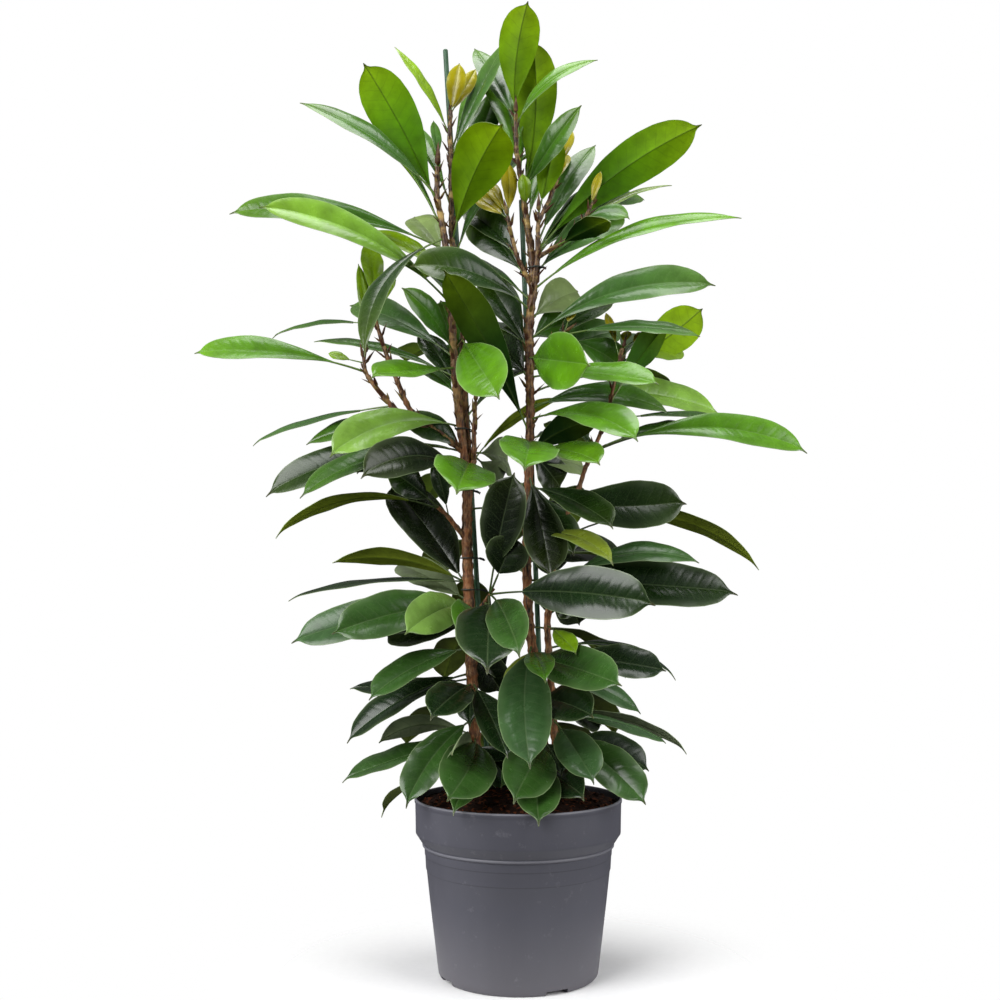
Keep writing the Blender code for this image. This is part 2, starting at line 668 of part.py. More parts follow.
def first_clear(choices, own_wood, own_leaves, foreign):
    """The first choice whose whole leaf misses all other pieces, and whose blade misses its own plant."""
    second_best = None
    for blade in choices:
        whole = tree_of(*blade_mesh(blade, CLEARANCE))
        if meets(whole, foreign):
            continue
        body = tree_of(*blade_mesh(blade, CLEARANCE, 1))
        if not meets(body, own_wood) and not meets(body, own_leaves):
            return blade
        second_best = second_best or blade
    return second_best


def hidden_share(blade, screens):
    """How much of a leaf the leaves in front of it hide from the eye."""
    points, _ = blade_mesh(blade, 0, 2)
    hidden = 0
    for point in points:
        way = (EYE - point).normalized()
        hidden += any(screen.ray_cast(point + way * LOOK_FROM, way)[0] for screen in screens)
    return hidden / len(points)


def listed_choices(leaf, paths):
    for higher in ROOT_STEPS:
        for deeper in DEPTH_STEPS:
            yield listed_blade(leaf, paths, deeper, higher)


def back_choices(root, number, screens):
    """Turns and tilts of a back leaf that keep it out of the front view's gaps."""
    least = LOW_HIDDEN_SHARE if root.z < BUSHY else HIDDEN_SHARE
    for tilt in RISE_STEPS:
        for turn in BACK_STEPS:
            blade = back_blade(root, number, turn, tilt)
            if hidden_share(blade, screens) >= least:
                yield blade


def back_roots(runs, paths):
    for branch, low, high, count in runs:
        for index in range(count):
            height = low + (high - low) * index / max(count - 1, 1)
            yield crossing(paths[branch], height)[0]


class Plant:
    """A leafy stem while it grows: its wood, and the leaves settled so far."""

    def __init__(self, name, branches):
        self.name = name
        self.paths = [branch_path(branch) for branch in branches]
        self.paths[0] = with_foot(*self.paths[0])
        self.wood = [tube_mesh("branch", *path) for path in self.paths]
        self.wood_trees = [mesh_tree(mesh) for mesh in self.wood]
        self.blades = []
        self.trees = []
        self.bodies = []

    def settle(self, choices, foreign):
        blade = first_clear(choices, self.wood_trees, self.bodies, foreign)
        if blade:
            self.blades.append(blade)
            self.trees.append(tree_of(*blade_mesh(blade)))
            self.bodies.append(tree_of(*blade_mesh(blade, 0, 1)))


def all_but(plant, plants, fixed):
    """What a plant's leaves have to miss: the fixed pieces, and the other plants."""
    trees = list(fixed)
    for other in plants:
        if other is not plant:
            trees += other.wood_trees + other.trees
    return trees


def make_plant(plant, finish):
    """One leafy stem: its wood and leaves, joined as one body."""
    parts = bpy.data.collections.new(plant.name + " parts")
    for mesh in plant.wood[1:]:
        parts.objects.link(bpy.data.objects.new("branch", mesh))
    for blade in plant.blades:
        points, faces = blade_mesh(blade)
        mesh = bpy.data.meshes.new("leaf")
        mesh.from_pydata([point * MM for point in points], [], faces)
        parts.objects.link(bpy.data.objects.new("leaf", mesh))
    body = add(plant.name, plant.wood[0].copy())
    boolean(body, "UNION", parts)
    apply_all(body)
    remove_all(parts)
    body.data.materials.clear()
    body.data.materials.append(finish)
    smooth(body.data, 40)


def grow(plants, lists, runs, fixed):
    """Settles the leaves of the front view, then those on the back, which hide behind them."""
    for plant, leaves in zip(plants, lists):
        foreign = all_but(plant, plants, fixed)
        for leaf in leaves:
            plant.settle(listed_choices(leaf, plant.paths), foreign)
    screens = [tree for plant in plants for tree in plant.bodies]
    for plant, run in zip(plants, runs):
        foreign = all_but(plant, plants, fixed)
        for number, root in enumerate(back_roots(run, plant.paths)):
            plant.settle(back_choices(root, number, screens), foreign)


def make_ties(plants, stakes, finish):
    ties = [("left", plants[0], LEFT_TIES), ("right", plants[1], RIGHT_TIES)]
    made = []
    for side, plant, heights in ties:
        for number, (height, branches) in enumerate(heights, 1):
            discs = [crossing(plant.paths[branch], height) for branch in branches]
            discs.append(crossing((stakes["stake_" + side], [STAKE_RADIUS] * 2), height))
            loop = tie_points(discs, height)
            mesh = tube_mesh("tie", loop, [TIE_WIRE] * len(loop), 0, closed=True)
            made.append(add(f"tie_{side}_{number}", mesh, finish))
    return made


def build():
    clear_scene()
    leafy = material("green leaves and brown bark", (0.03, 0.10, 0.02), 0.35)
    wire = material("dark tie wire", (0.01, 0.015, 0.01), 0.5)
    cane = material("green stake", (0.035, 0.09, 0.05), 0.5)

    stakes = {"stake_left": stake_points(LEFT_STAKE), "stake_right": stake_points(RIGHT_STAKE)}
    plants = (
        Plant("stem_left", LEFT_WOOD),
        Plant("stem_right", RIGHT_WOOD),
        Plant("stem_right_low", LOW_WOOD),
    )
    holes = [hole_mesh(*plant.paths[0]) for plant in plants]
    holes += [hole_mesh(points, [STAKE_RADIUS] * 2) for points in stakes.values()]
    fixed = [make_pot(), make_soil(holes)]
    for name, points in stakes.items():
        fixed.append(add(name, tube_mesh(name, points, [STAKE_RADIUS] * 2, 2), cane))
    fixed += make_ties(plants, stakes, wire)

    trees = [mesh_tree(item.data) for item in fixed]
    grow(plants, (LEFT_LEAVES, RIGHT_LEAVES, LOW_LEAVES), (LEFT_BACK, RIGHT_BACK, LOW_BACK), trees)
    for plant in plants:
        make_plant(plant, leafy)


build()
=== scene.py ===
# %% [markdown]
# # A potted african fig
# This lesson dresses the plain solids of a potted african fig, so that it looks like the real plant. The
# solids come first, as a fixed frame in metres. Each new piece takes the place of one or more of them.
# Sizes and places are written in millimetres, and scaled once, where a mesh is made.

# %% Load the frame
import math
import random
from collections import namedtuple
from contextlib import contextmanager

import bmesh
import bpy
import numpy as np
from mathutils import Matrix, Vector, noise
from mathutils.kdtree import KDTree


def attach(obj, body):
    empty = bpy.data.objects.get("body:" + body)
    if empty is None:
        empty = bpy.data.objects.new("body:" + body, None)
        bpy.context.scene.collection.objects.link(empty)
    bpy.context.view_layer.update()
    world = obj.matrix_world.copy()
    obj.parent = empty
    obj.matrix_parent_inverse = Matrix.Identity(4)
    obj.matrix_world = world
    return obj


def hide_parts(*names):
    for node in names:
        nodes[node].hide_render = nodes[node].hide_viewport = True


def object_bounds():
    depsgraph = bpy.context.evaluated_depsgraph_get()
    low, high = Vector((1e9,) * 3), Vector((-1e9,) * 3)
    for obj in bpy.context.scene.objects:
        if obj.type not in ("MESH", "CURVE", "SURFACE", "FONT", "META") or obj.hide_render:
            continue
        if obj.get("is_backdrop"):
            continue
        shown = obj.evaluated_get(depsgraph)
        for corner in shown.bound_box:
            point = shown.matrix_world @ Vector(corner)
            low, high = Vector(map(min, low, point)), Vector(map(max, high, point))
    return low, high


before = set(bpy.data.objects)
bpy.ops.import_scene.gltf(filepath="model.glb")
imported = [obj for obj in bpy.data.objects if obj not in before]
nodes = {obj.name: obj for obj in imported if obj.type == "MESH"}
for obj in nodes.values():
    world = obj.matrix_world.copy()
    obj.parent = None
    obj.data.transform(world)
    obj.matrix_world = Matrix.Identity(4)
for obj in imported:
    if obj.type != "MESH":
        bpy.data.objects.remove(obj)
cad_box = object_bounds()
MM = 0.001
print("nodes:", ", ".join(sorted(nodes)))
print("box of the solids:", [tuple(round(c, 4) for c in corner) for corner in cad_box])

# %% [markdown]
# ## Working by hand, from a script
# An operator acts on what is selected, so each step starts by selecting just what it should change. Small
# helpers do that, for whole objects and for points of the mesh that is being edited.

# %% Helpers for selecting and finishing
def only(*items):
    """Selects these objects and nothing else. The first becomes the active one."""
    bpy.ops.object.select_all(action="DESELECT")
    for item in items:
        item.select_set(True)
    bpy.context.view_layer.objects.active = items[0]


def discard(*items):
    only(*items)
    bpy.ops.object.delete()


@contextmanager
def editing():
    """Edit mode on the active object, at first with all its points selected."""
    bpy.ops.object.mode_set(mode="EDIT")
    bpy.ops.mesh.select_all(action="SELECT")
    yield
    bpy.ops.object.mode_set(mode="OBJECT")


def pick(test):
    """In edit mode, selects the points whose place passes a test."""
    form = bmesh.from_edit_mesh(bpy.context.object.data)
    form.select_mode = {"VERT"}
    for point in form.verts:
        point.select = bool(test(point.co))
    form.select_flush_mode()
    bmesh.update_edit_mesh(bpy.context.object.data)


def face_outward():
    """In edit mode, turns the front of every face outward."""
    bpy.ops.mesh.select_all(action="SELECT")
    bpy.ops.mesh.normals_make_consistent(inside=False)


def apply_modifiers(item):
    only(item)
    for change in list(item.modifiers):
        bpy.ops.object.modifier_apply(modifier=change.name)


def copy_of(pattern):
    made = pattern.copy()
    made.data = pattern.data.copy()
    bpy.context.collection.objects.link(made)
    return made


def join(items):
    only(*items)
    if len(items) > 1:
        bpy.ops.object.join()
    return bpy.context.object


def smooth(item, degrees):
    only(item)
    bpy.ops.object.shade_smooth_by_angle(angle=math.radians(degrees))


def dress(piece, name, material, slot, *stands_for):
    """Names a finished piece, gives it its material, and hides the solids that it stands for."""
    piece.name = name
    piece.data.name = name
    piece.data.materials.clear()
    piece.data.materials.append(material)
    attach(piece, "root")
    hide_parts(*stands_for)
    piece.data.calc_loop_triangles()
    print(name, "has", len(piece.data.loop_triangles), "triangles")


def clamp(value):
    return min(max(value, 0), 1)


def between(pair, share):
    """The value at this share of the way from the first of a pair to the second."""
    return pair[0] + (pair[1] - pair[0]) * share


# %% [markdown]
# ## Colours and nodes
# Colours are given as sRGB hex values, and the shader works in linear light, so one function turns the first
# into the second. One function adds a node of any kind and gives back one of its outputs, which can go
# straight into the next node. An input takes either such an output or a fixed value.

# %% Helpers for materials
COLOUR_A, COLOUR_B, COLOUR_OUT = 6, 7, 2  # a Mix node's colour sockets


def linear(code):
    """Linear red, green, blue and alpha of an sRGB hex colour."""
    parts = [int(code[start:start + 2], 16) / 255 for start in (1, 3, 5)]
    return (*(c / 12.92 if c <= 0.04045 else ((c + 0.055) / 1.055) ** 2.4 for c in parts), 1)


def feed(tree, taker, inputs):
    """Gives a node's inputs, by name or number, a fixed value or another node's output."""
    for name, value in inputs.items():
        if isinstance(value, bpy.types.NodeSocket):
            tree.links.new(value, taker.inputs[name])
        else:
            taker.inputs[name].default_value = value


def add_node(tree, kind, output, inputs=None, **settings):
    """Adds a node with its settings, feeds its inputs, and gives back one output."""
    made = tree.nodes.new("ShaderNode" + kind)
    for name, value in settings.items():
        setattr(made, name, value)
    feed(tree, made, inputs or {})
    return made.outputs[output]


def new_material(name, values):
    """A material with a Principled shader, whose fixed values are set on its own sockets."""
    made = bpy.data.materials.new(name)
    made.use_nodes = True
    shader = made.node_tree.nodes["Principled BSDF"]
    feed(made.node_tree, shader, values)
    return made, made.node_tree, shader


# %% [markdown]
# ## Camera and light
# The plant was photographed from 1.5 m in front, at over a third of its height, looking up by four degrees.
# The camera stands there, so that the render and the photograph can be laid over each other. As in a photo
# studio, large soft lamps give the light: one from the front left, a weaker one from the right, and one from
# above. Two weak ones at the sides brighten the pot's flanks, and make no highlights. The wall behind is
# plain white, but it gives less light than it shows, or the leaves would lose their shade. The floor is
# white paper that fades into the wall.

# %% Camera, lights and floor
EYE = Vector((-21, -1500, 440))
PITCH = 3.98  # degrees upward
LENS = 45.94
bpy.ops.object.camera_add(location=EYE * MM, rotation=(math.radians(90 + PITCH), 0, 0))
camera = bpy.context.object
camera.data.lens = LENS
camera.data.sensor_width = 36
camera.data.clip_end = 60
bpy.context.scene.camera = camera

SOFT_LIGHTS = (  # name, place in metres, width in metres, watts
    ("key", (-1.8, -1.7, 1.9), 2.2, 87),
    ("fill", (2.0, -1.3, 1.2), 1.9, 36),
    ("top", (0.1, -0.1, 3.1), 1.8, 50),
    ("left side", (-1.6, -0.1, 0.3), 0.9, 15),
    ("right side", (1.6, -0.1, 0.3), 0.9, 10),
)
PLANT_MIDDLE = Vector((0, 0, 0.62))
for name, place, width, watts in SOFT_LIGHTS:
    aim = (PLANT_MIDDLE - Vector(place)).to_track_quat("-Z", "Y").to_euler()
    bpy.ops.object.light_add(type="AREA", location=place, rotation=aim)
    lamp = bpy.context.object
    lamp.name = name + " light"
    lamp.data.shape = "DISK"
    lamp.data.size = width
    lamp.data.energy = watts
    lamp.visible_glossy = "side" not in name

WALL_LIGHT, CEILING_LIGHT, WALL_SEEN = 0.08, 0.30, 1.0
sky = bpy.data.worlds.new("white studio")
sky.use_nodes = True
tree = sky.node_tree
upward = add_node(tree, "SeparateXYZ", "Z", {"Vector": add_node(tree, "TexCoord", "Generated")})
glow = add_node(tree, "MapRange", "Result", {
    "Value": upward, "From Min": 0.1, "From Max": 0.9, "To Min": WALL_LIGHT, "To Max": CEILING_LIGHT,
}, interpolation_type="SMOOTHSTEP")
ray = add_node(tree, "LightPath", "Is Camera Ray")
strength = add_node(tree, "Mix", 0, {"Factor": ray, 2: glow, 3: WALL_SEEN}, data_type="FLOAT")
feed(tree, tree.nodes["Background"], {"Color": (1, 1, 1, 1), "Strength": strength})
bpy.context.scene.world = sky
bpy.context.scene.view_settings.view_transform = "Standard"

PAPER_SOLID, PAPER_GONE = 0.11, 0.36  # metres from the middle, where the paper starts and ends to fade
bpy.ops.mesh.primitive_circle_add(vertices=96, radius=2.6, fill_type="NGON")
floor = bpy.context.object
floor.name = "studio_floor"
paper, tree, shader = new_material("matt white paper sweep", {"Roughness": 0.9})
place = add_node(tree, "TexCoord", "Object")
far = add_node(tree, "VectorMath", "Value", {0: place}, operation="LENGTH")
grain = add_node(tree, "TexNoise", "Fac", {"Vector": place, "Scale": 120, "Detail": 3})
feed(tree, shader, {
    "Base Color": add_node(tree, "Mix", COLOUR_OUT, {
        "Factor": grain, COLOUR_A: linear("#f2f2f3"), COLOUR_B: linear("#fafafa"),
    }, data_type="RGBA"),
    "Alpha": add_node(tree, "MapRange", "Result", {
        "Value": far, "From Min": PAPER_SOLID, "From Max": PAPER_GONE, "To Min": 1, "To Max": 0,
    }, interpolation_type="SMOOTHSTEP"),
})
floor.data.materials.append(paper)
floor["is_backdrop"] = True
print("camera at", tuple(round(c, 3) for c in camera.location), "with lens", LENS)

# %% [markdown]
# ## Pot
# A nursery pot is blown or pressed from grey polypropylene: a slightly conical wall, a bead, and a wide
# collar to lift it by. It is a body of revolution, so it could be spun from an outline, or built ring by
# ring. Rings are used here, as by hand: a circle is extruded again and again, and each new ring is scaled to
# its radius. The collar's edges get two rings close together, because moulded plastic has no sharp edge.

# %% Build a body of revolution from rings
def ring_body(profile, sides):
    """A closed body from radius and height, both in mm, of each ring. Both ends close on the axis."""
    radius, height = profile[0]
    near, level = 1.01 * radius * MM, height * MM
    bpy.ops.object.select_all(action="DESELECT")
    bpy.ops.mesh.primitive_circle_add(vertices=sides, radius=radius * MM, location=(0, 0, level))
    bpy.ops.object.transform_apply()
    with editing():
        for wide, high in profile[1:]:
            bpy.ops.mesh.extrude_region_move(TRANSFORM_OT_translate={"value": (0, 0, (high - height) * MM)})
            scale = wide / radius
            bpy.ops.transform.resize(value=(scale, scale, 1), center_override=(0, 0, high * MM))
            radius, height = wide, high
        bpy.ops.mesh.merge(type="CENTER")
        pick(lambda place: place.xy.length < near and abs(place.z - level) < 1e-6)
        bpy.ops.mesh.merge(type="CENTER")
        face_outward()
    return bpy.context.object


def cut(body, tools):
    """Cuts tools out of a body, and deletes them."""
    for tool in tools:
        change = body.modifiers.new("cut", "BOOLEAN")
        change.operation = "DIFFERENCE"
        change.solver = "EXACT"
        change.object = tool
    apply_modifiers(body)
    discard(*tools)


# %% The pot's outline, and its notches and holes
POT_HEIGHT = 200
RIM_RADIUS = 120
COLLAR_HEIGHT = 40
STEP_HEIGHT = 119
FOOT_RADIUS = 88
NOTCH_WIDTH, NOTCH_HEIGHT, NOTCH_REACH, NOTCH_ANGLE = 27, 5, 30, -63
DRAIN_RADIUS, DRAIN_CIRCLE, DRAIN_LEVEL, DRAIN_REACH = 5, 62, 6.2, 20
DRAIN_TURN = 20  # degrees from a notch to the next hole


def under_rim(*places):
    """Radius and height of places that are given as in from the rim, and down from the top."""
    return tuple((RIM_RADIUS - inward, POT_HEIGHT - down) for inward, down in places)


POT_INSIDE = (
    (1, 2.8), (43, 2.8), (44, 3.2), (45.6, 7.2), (46.6, 7.8), (FOOT_RADIUS - 3, 7.8),
    (FOOT_RADIUS - 0.6, 8.8), (90.6, 14), (95, 44), (99.3, 80), (103.4, STEP_HEIGHT), (106.4, 144.5),
    (107.4, 148.5), (110.6, 153.6),
    *under_rim((4.6, COLLAR_HEIGHT), (3.7, COLLAR_HEIGHT - 2.4), (3.4, 20), (3.0, 1.4), (2.8, 0.5)),
)
POT_OUTSIDE = (
    *under_rim((2.3, 0.05), (1.6, 0), (0.8, 0.3), (0.25, 1.0), (0, 2.2), (0.2, 4.4), (0.9, 5.6), (1.0, 7.0),
               (1.4, 22), (1.7, COLLAR_HEIGHT - 1.6), (1.9, COLLAR_HEIGHT - 0.4), (2.8, COLLAR_HEIGHT + 0.8)),
    (112.2, 151.6), (110.2, 149.6), (109.9, 148.8), (110.4, 148.0), (110.7, 147.1), (110.5, 146.1),
    (109.4, 145.1), (108.3, 144.2), (107.7, 136.2), (107.5, 135.6), (107.2, 135.0),
    (106.4, STEP_HEIGHT + 1.8),
    (106.1, STEP_HEIGHT + 0.6), (105.5, STEP_HEIGHT - 0.6), (101.6, 84), (97.2, 48), (92.7, 12), (92.3, 9),
    (91.5, 3.6), (90.6, 1.6), (89.4, 0.4), (FOOT_RADIUS, 0), (FOOT_RADIUS - 9, 0), (FOOT_RADIUS - 9.8, 0.5),
    (FOOT_RADIUS - 11, NOTCH_HEIGHT), (47, NOTCH_HEIGHT), (45.4, 0.5), (44.6, 0), (1, 0),
)
POT_SIDES = 128
pot_shell = ring_body(POT_INSIDE + POT_OUTSIDE, POT_SIDES)

tools = []
for quarter in range(4):
    turn = math.radians(NOTCH_ANGLE + 90 * quarter)
    out = Vector((math.cos(turn), math.sin(turn), 0))
    bpy.ops.mesh.primitive_cube_add(size=MM, location=out * (FOOT_RADIUS * MM), rotation=(0, 0, turn),
                                    scale=(NOTCH_REACH, NOTCH_WIDTH, 2 * NOTCH_HEIGHT))
    tools.append(bpy.context.object)
    drain = turn + math.radians(DRAIN_TURN)
    spot = Vector((DRAIN_CIRCLE * math.cos(drain), DRAIN_CIRCLE * math.sin(drain), DRAIN_LEVEL))
    bpy.ops.mesh.primitive_cylinder_add(vertices=24, radius=DRAIN_RADIUS * MM, depth=DRAIN_REACH * MM,
                                        location=spot * MM)
    tools.append(bpy.context.object)
cut(pot_shell, tools)
smooth(pot_shell, 32)
print("pot wall at the rim:", round(POT_OUTSIDE[4][0] - POT_INSIDE[-2][0], 2), "mm")

# %% [markdown]
# ### Moulded polypropylene
# Nursery pots are injection moulded from recycled polypropylene. It looks matt to satin, with a very fine
# eroded texture, and it scuffs: pale rubbed streaks. Thin pale lines round the bead and the rim are painted
# highlights, thin dark lines at two steps of the mould are painted shade, and the wall is a little paler
# toward its foot. The grey is slightly violet. The fine texture is about 0.4 mm, too fine to see from here,
# so it is drawn at 1 mm.

# %% Pot material
HIGHLIGHT_AND_SHADE_LINES = (  # height and reach in metres, share and colour: painted highlights round the bead and the rim, and painted shade at two steps of the mould
    (0.1473, 0.0011, 0.22, "#9b9ba2"), (0.1993, 0.0010, 0.30, "#9b9ba2"),
    (0.1350, 0.0006, 0.30, "#26262b"), (0.1192, 0.0006, 0.30, "#26262b"),
)
plastic, tree, shader = new_material("moulded polypropylene", {"IOR": 1.49, "Specular IOR Level": 0.4})
place = add_node(tree, "TexCoord", "Object")
upright = add_node(tree, "Mapping", "Vector", {"Vector": place, "Scale": (1, 1, 0.35)})
cloudy = add_node(tree, "TexNoise", "Fac", {"Vector": upright, "Scale": 14, "Detail": 5, "Roughness": 0.6})
rubbed = add_node(tree, "TexNoise", "Fac", {"Vector": place, "Scale": 70, "Detail": 8, "Roughness": 0.72})
grit = add_node(tree, "TexNoise", "Fac", {"Vector": place, "Scale": 1000})
height = add_node(tree, "SeparateXYZ", "Z", {"Vector": place})
grey = add_node(tree, "Mix", COLOUR_OUT, {
    "Factor": cloudy, COLOUR_A: linear("#45454d"), COLOUR_B: linear("#54545d"),
}, data_type="RGBA")
# the wall grows a little paler toward its foot
paler_foot = add_node(tree, "MapRange", "Result", {
    "Value": height, "From Min": 0.09, "From Max": 0, "To Max": 0.16,
})
grey = add_node(tree, "Mix", COLOUR_OUT, {
    "Factor": paler_foot, COLOUR_A: grey, COLOUR_B: linear("#7b7470"),
}, data_type="RGBA")
# thin painted highlights round the bead and the rim, and thin painted shade at two steps of the mould
for level, reach, share, colour in HIGHLIGHT_AND_SHADE_LINES:
    on_line = add_node(tree, "Math", "Value", {0: height, 1: level, 2: reach}, operation="COMPARE")
    shown = add_node(tree, "Math", "Value", {0: on_line, 1: share}, operation="MULTIPLY")
    grey = add_node(tree, "Mix", COLOUR_OUT, {
        "Factor": shown, COLOUR_A: grey, COLOUR_B: linear(colour),
    }, data_type="RGBA")
scuffs = add_node(tree, "MapRange", "Result", {
    "Value": rubbed, "From Min": 0.60, "From Max": 0.72, "To Max": 0.30,
})
feed(tree, shader, {
    "Base Color": add_node(tree, "Mix", COLOUR_OUT, {
        "Factor": scuffs, COLOUR_A: grey, COLOUR_B: linear("#85858c"),
    }, data_type="RGBA"),
    "Roughness": add_node(tree, "MapRange", "Result", {"Value": cloudy, "To Min": 0.40, "To Max": 0.56}),
    "Normal": add_node(tree, "Bump", "Normal", {"Height": grit, "Strength": 0.10, "Distance": 0.0003}),
})
dress(pot_shell, "pot_shell", plastic, "pot", "pot")

# %% [markdown]
# ## Soil
# The pot is full of dark peat with bits of bark, heaped up round the stems. Its top could be carved from a
# fine grid, or built from the same kind of rings as the pot and then roughened. Rings are used, so that it
# meets the pot's wall in a clean circle. Noise lifts the rings' points into crumbs, and a few hundred loose
# crumbs lie on top: one rough lump is made and copied, each copy with its own size and turn.

# %% Soil in the pot
SOIL_EDGE, SOIL_FLOOR = 193, 8.4
SOIL_CROWN, CROWN_FLATNESS = 14, 2.6  # how far the middle stands over the edge, and the mound's power
EDGE_DIP, EDGE_SHARPNESS = 1.2, 12  # mm that the soil sinks at the wall, and the power of that dip
WALL_GAP = 0.3
SOIL_SIDES, SOIL_RINGS = 120, 42
CALM_EDGE, LEAST_ROUGH = 6, 0.25  # mm from the wall where the roughness fades, and what is left of it
CRUMB_NOISE = (  # shapes a mm, height in mm, and shift: clods, lumps and fine crumbs
    (0.055, 2.4, (0, 0, 0)), (0.16, 1.7, (7, 3, 1)), (0.45, 1.1, (1, 9, 4)),
)
TOP_FROM = SOIL_EDGE - 2.5  # points over this height belong to the soil's top
WALL_INSIDE = RIM_RADIUS - 3.8  # at the height of the soil's edge
SOIL_RADIUS = WALL_INSIDE - WALL_GAP


def heap(distance):
    """Height of the soil's smooth mound, at a distance from the axis."""
    share = min(distance / SOIL_RADIUS, 1)
    return SOIL_EDGE + SOIL_CROWN * (1 - share ** CROWN_FLATNESS) - EDGE_DIP * share ** EDGE_SHARPNESS


top_rings = [(radius, heap(radius)) for radius in np.linspace(1, SOIL_RADIUS, SOIL_RINGS)]
under_rings = [(radius - WALL_GAP - 0.2, high + WALL_GAP) for radius, high in POT_INSIDE[::-1]
               if SOIL_FLOOR < high < SOIL_EDGE - 2]
under_rings += [(FOOT_RADIUS - 6, SOIL_FLOOR), (2, SOIL_FLOOR)]
soil_surface = ring_body(top_rings + under_rings, SOIL_SIDES)


def crumbs(place):
    """How far the soil's surface rises or falls at a place in mm."""
    return sum(height * noise.noise(place * fineness + Vector(shift))
               for fineness, height, shift in CRUMB_NOISE)


for point in soil_surface.data.vertices:
    if point.co.z > TOP_FROM * MM:
        place = Vector((point.co.x, point.co.y, 0)) / MM
        inward = min((SOIL_RADIUS - place.length) / CALM_EDGE, 1)
        point.co.z += crumbs(place) * between((LEAST_ROUGH, 1), inward) * MM
smooth(soil_surface, 50)

# %% Loose crumbs
CRUMB_COUNT = 420
CRUMB_SIZES = (0.9, 1.2, 1.6, 2.3, 3.2)
CRUMB_FORM = Vector((1.3, 1, 0.75))
CRUMB_AREA = 0.93  # share of the soil's top, from its middle, that crumbs lie on
CRUMB_LIFT = 0.4
LUMP_SIZE, LUMP_ROUGHNESS, LUMP_FINENESS = 0.8, 0.45, 0.9
random.seed(11)


def rough_lump(seed):
    """A stone-like lump, 1 mm in radius, of 20 faces."""
    bpy.ops.object.select_all(action="DESELECT")
    bpy.ops.mesh.primitive_ico_sphere_add(subdivisions=1, radius=MM)
    lump = bpy.context.object
    for point in lump.data.vertices:
        rough = noise.noise(point.co / MM * LUMP_FINENESS + Vector((seed, 0, 0)))
        point.co *= LUMP_SIZE + LUMP_ROUGHNESS * rough
    return lump


lumps = [rough_lump(seed) for seed in (3, 8, 15)]
copies = []
for _ in range(CRUMB_COUNT):
    far = SOIL_RADIUS * math.sqrt(random.uniform(0, CRUMB_AREA))
    turn = random.uniform(0, math.tau)
    spot = Vector((far * math.cos(turn), far * math.sin(turn), 0))
    spot.z = heap(far) + crumbs(spot) + CRUMB_LIFT
    size = random.choice(CRUMB_SIZES)
    lean = Vector([random.uniform(0, 3) for _ in range(3)]).normalized().to_track_quat("Z", "Y")
    shape = Matrix.LocRotScale(spot * MM, lean, CRUMB_FORM * size)
    made = copy_of(random.choice(lumps))
    made.data.transform(shape)
    copies.append(made)
soil_crumbs = join(copies)
discard(*lumps)

# %% [markdown]
# ### Peat with composted bark
# Moist peat is nearly black brown and has no gloss. Composted bark in it shows as rust-coloured bits of
# 2 to 5 mm. A cell pattern of that size picks which cells are bark, and finer noise breaks up the rest.

# %% Soil material
peat, tree, shader = new_material("peat with composted bark", {"Roughness": 0.95, "Specular IOR Level": 0.2})
place = add_node(tree, "TexCoord", "Object")
cells = add_node(tree, "TexVoronoi", "Color", {"Vector": place, "Scale": 260})
bark_bits = add_node(tree, "MapRange", "Result", {
    "Value": add_node(tree, "SeparateXYZ", "X", {"Vector": cells}),
    "From Min": 0.76, "From Max": 0.84, "To Max": 0.8,
})
fibres = add_node(tree, "TexNoise", "Fac", {"Vector": place, "Scale": 420, "Detail": 6, "Roughness": 0.7})
black = add_node(tree, "Mix", COLOUR_OUT, {
    "Factor": fibres, COLOUR_A: linear("#0b0502"), COLOUR_B: linear("#28130a"),
}, data_type="RGBA")
feed(tree, shader, {
    "Base Color": add_node(tree, "Mix", COLOUR_OUT, {
        "Factor": bark_bits, COLOUR_A: black, COLOUR_B: linear("#5c2f17"),
    }, data_type="RGBA"),
    "Normal": add_node(tree, "Bump", "Normal", {"Height": fibres, "Strength": 0.8, "Distance": 0.0012}),
})
dress(soil_surface, "soil_surface", peat, "soil", "soil")
dress(soil_crumbs, "soil_crumbs", peat, "soil", "soil")

# %% [markdown]
# ## Where the stems run
# The stems and leaves were read from the photograph, so they are listed as the eye sees them: x and z in the
# upright plane through the pot's axis, and how far they come toward the eye. One function slides such a
# point along the line of sight to its real depth.

# %% Points of the front view
def seen(x, z, toward):
    """The point that comes this far toward the eye, and still shows at x, z of the upright plane."""
    share = 1 + toward / EYE.y
    return EYE + (Vector((x, 0, z)) - EYE) * share


def branch_path(branch):
    """A branch's points in space, and the radius at each."""
    first, last, places = branch
    points = [seen(*place) for place in places]
    return points, [between((first, last), index / (len(points) - 1)) for index in range(len(points))]


def crossing(path, height):
    """Where a stem or stake passes a height, and its radius there."""
    points, radii = path
    for low, high, *ends in zip(points, points[1:], radii, radii[1:]):
        if low.z <= height <= high.z:
            share = (height - low.z) / (high.z - low.z)
            return low.lerp(high, share), between(ends, share)
    raise ValueError(f"no stem at height {height}")


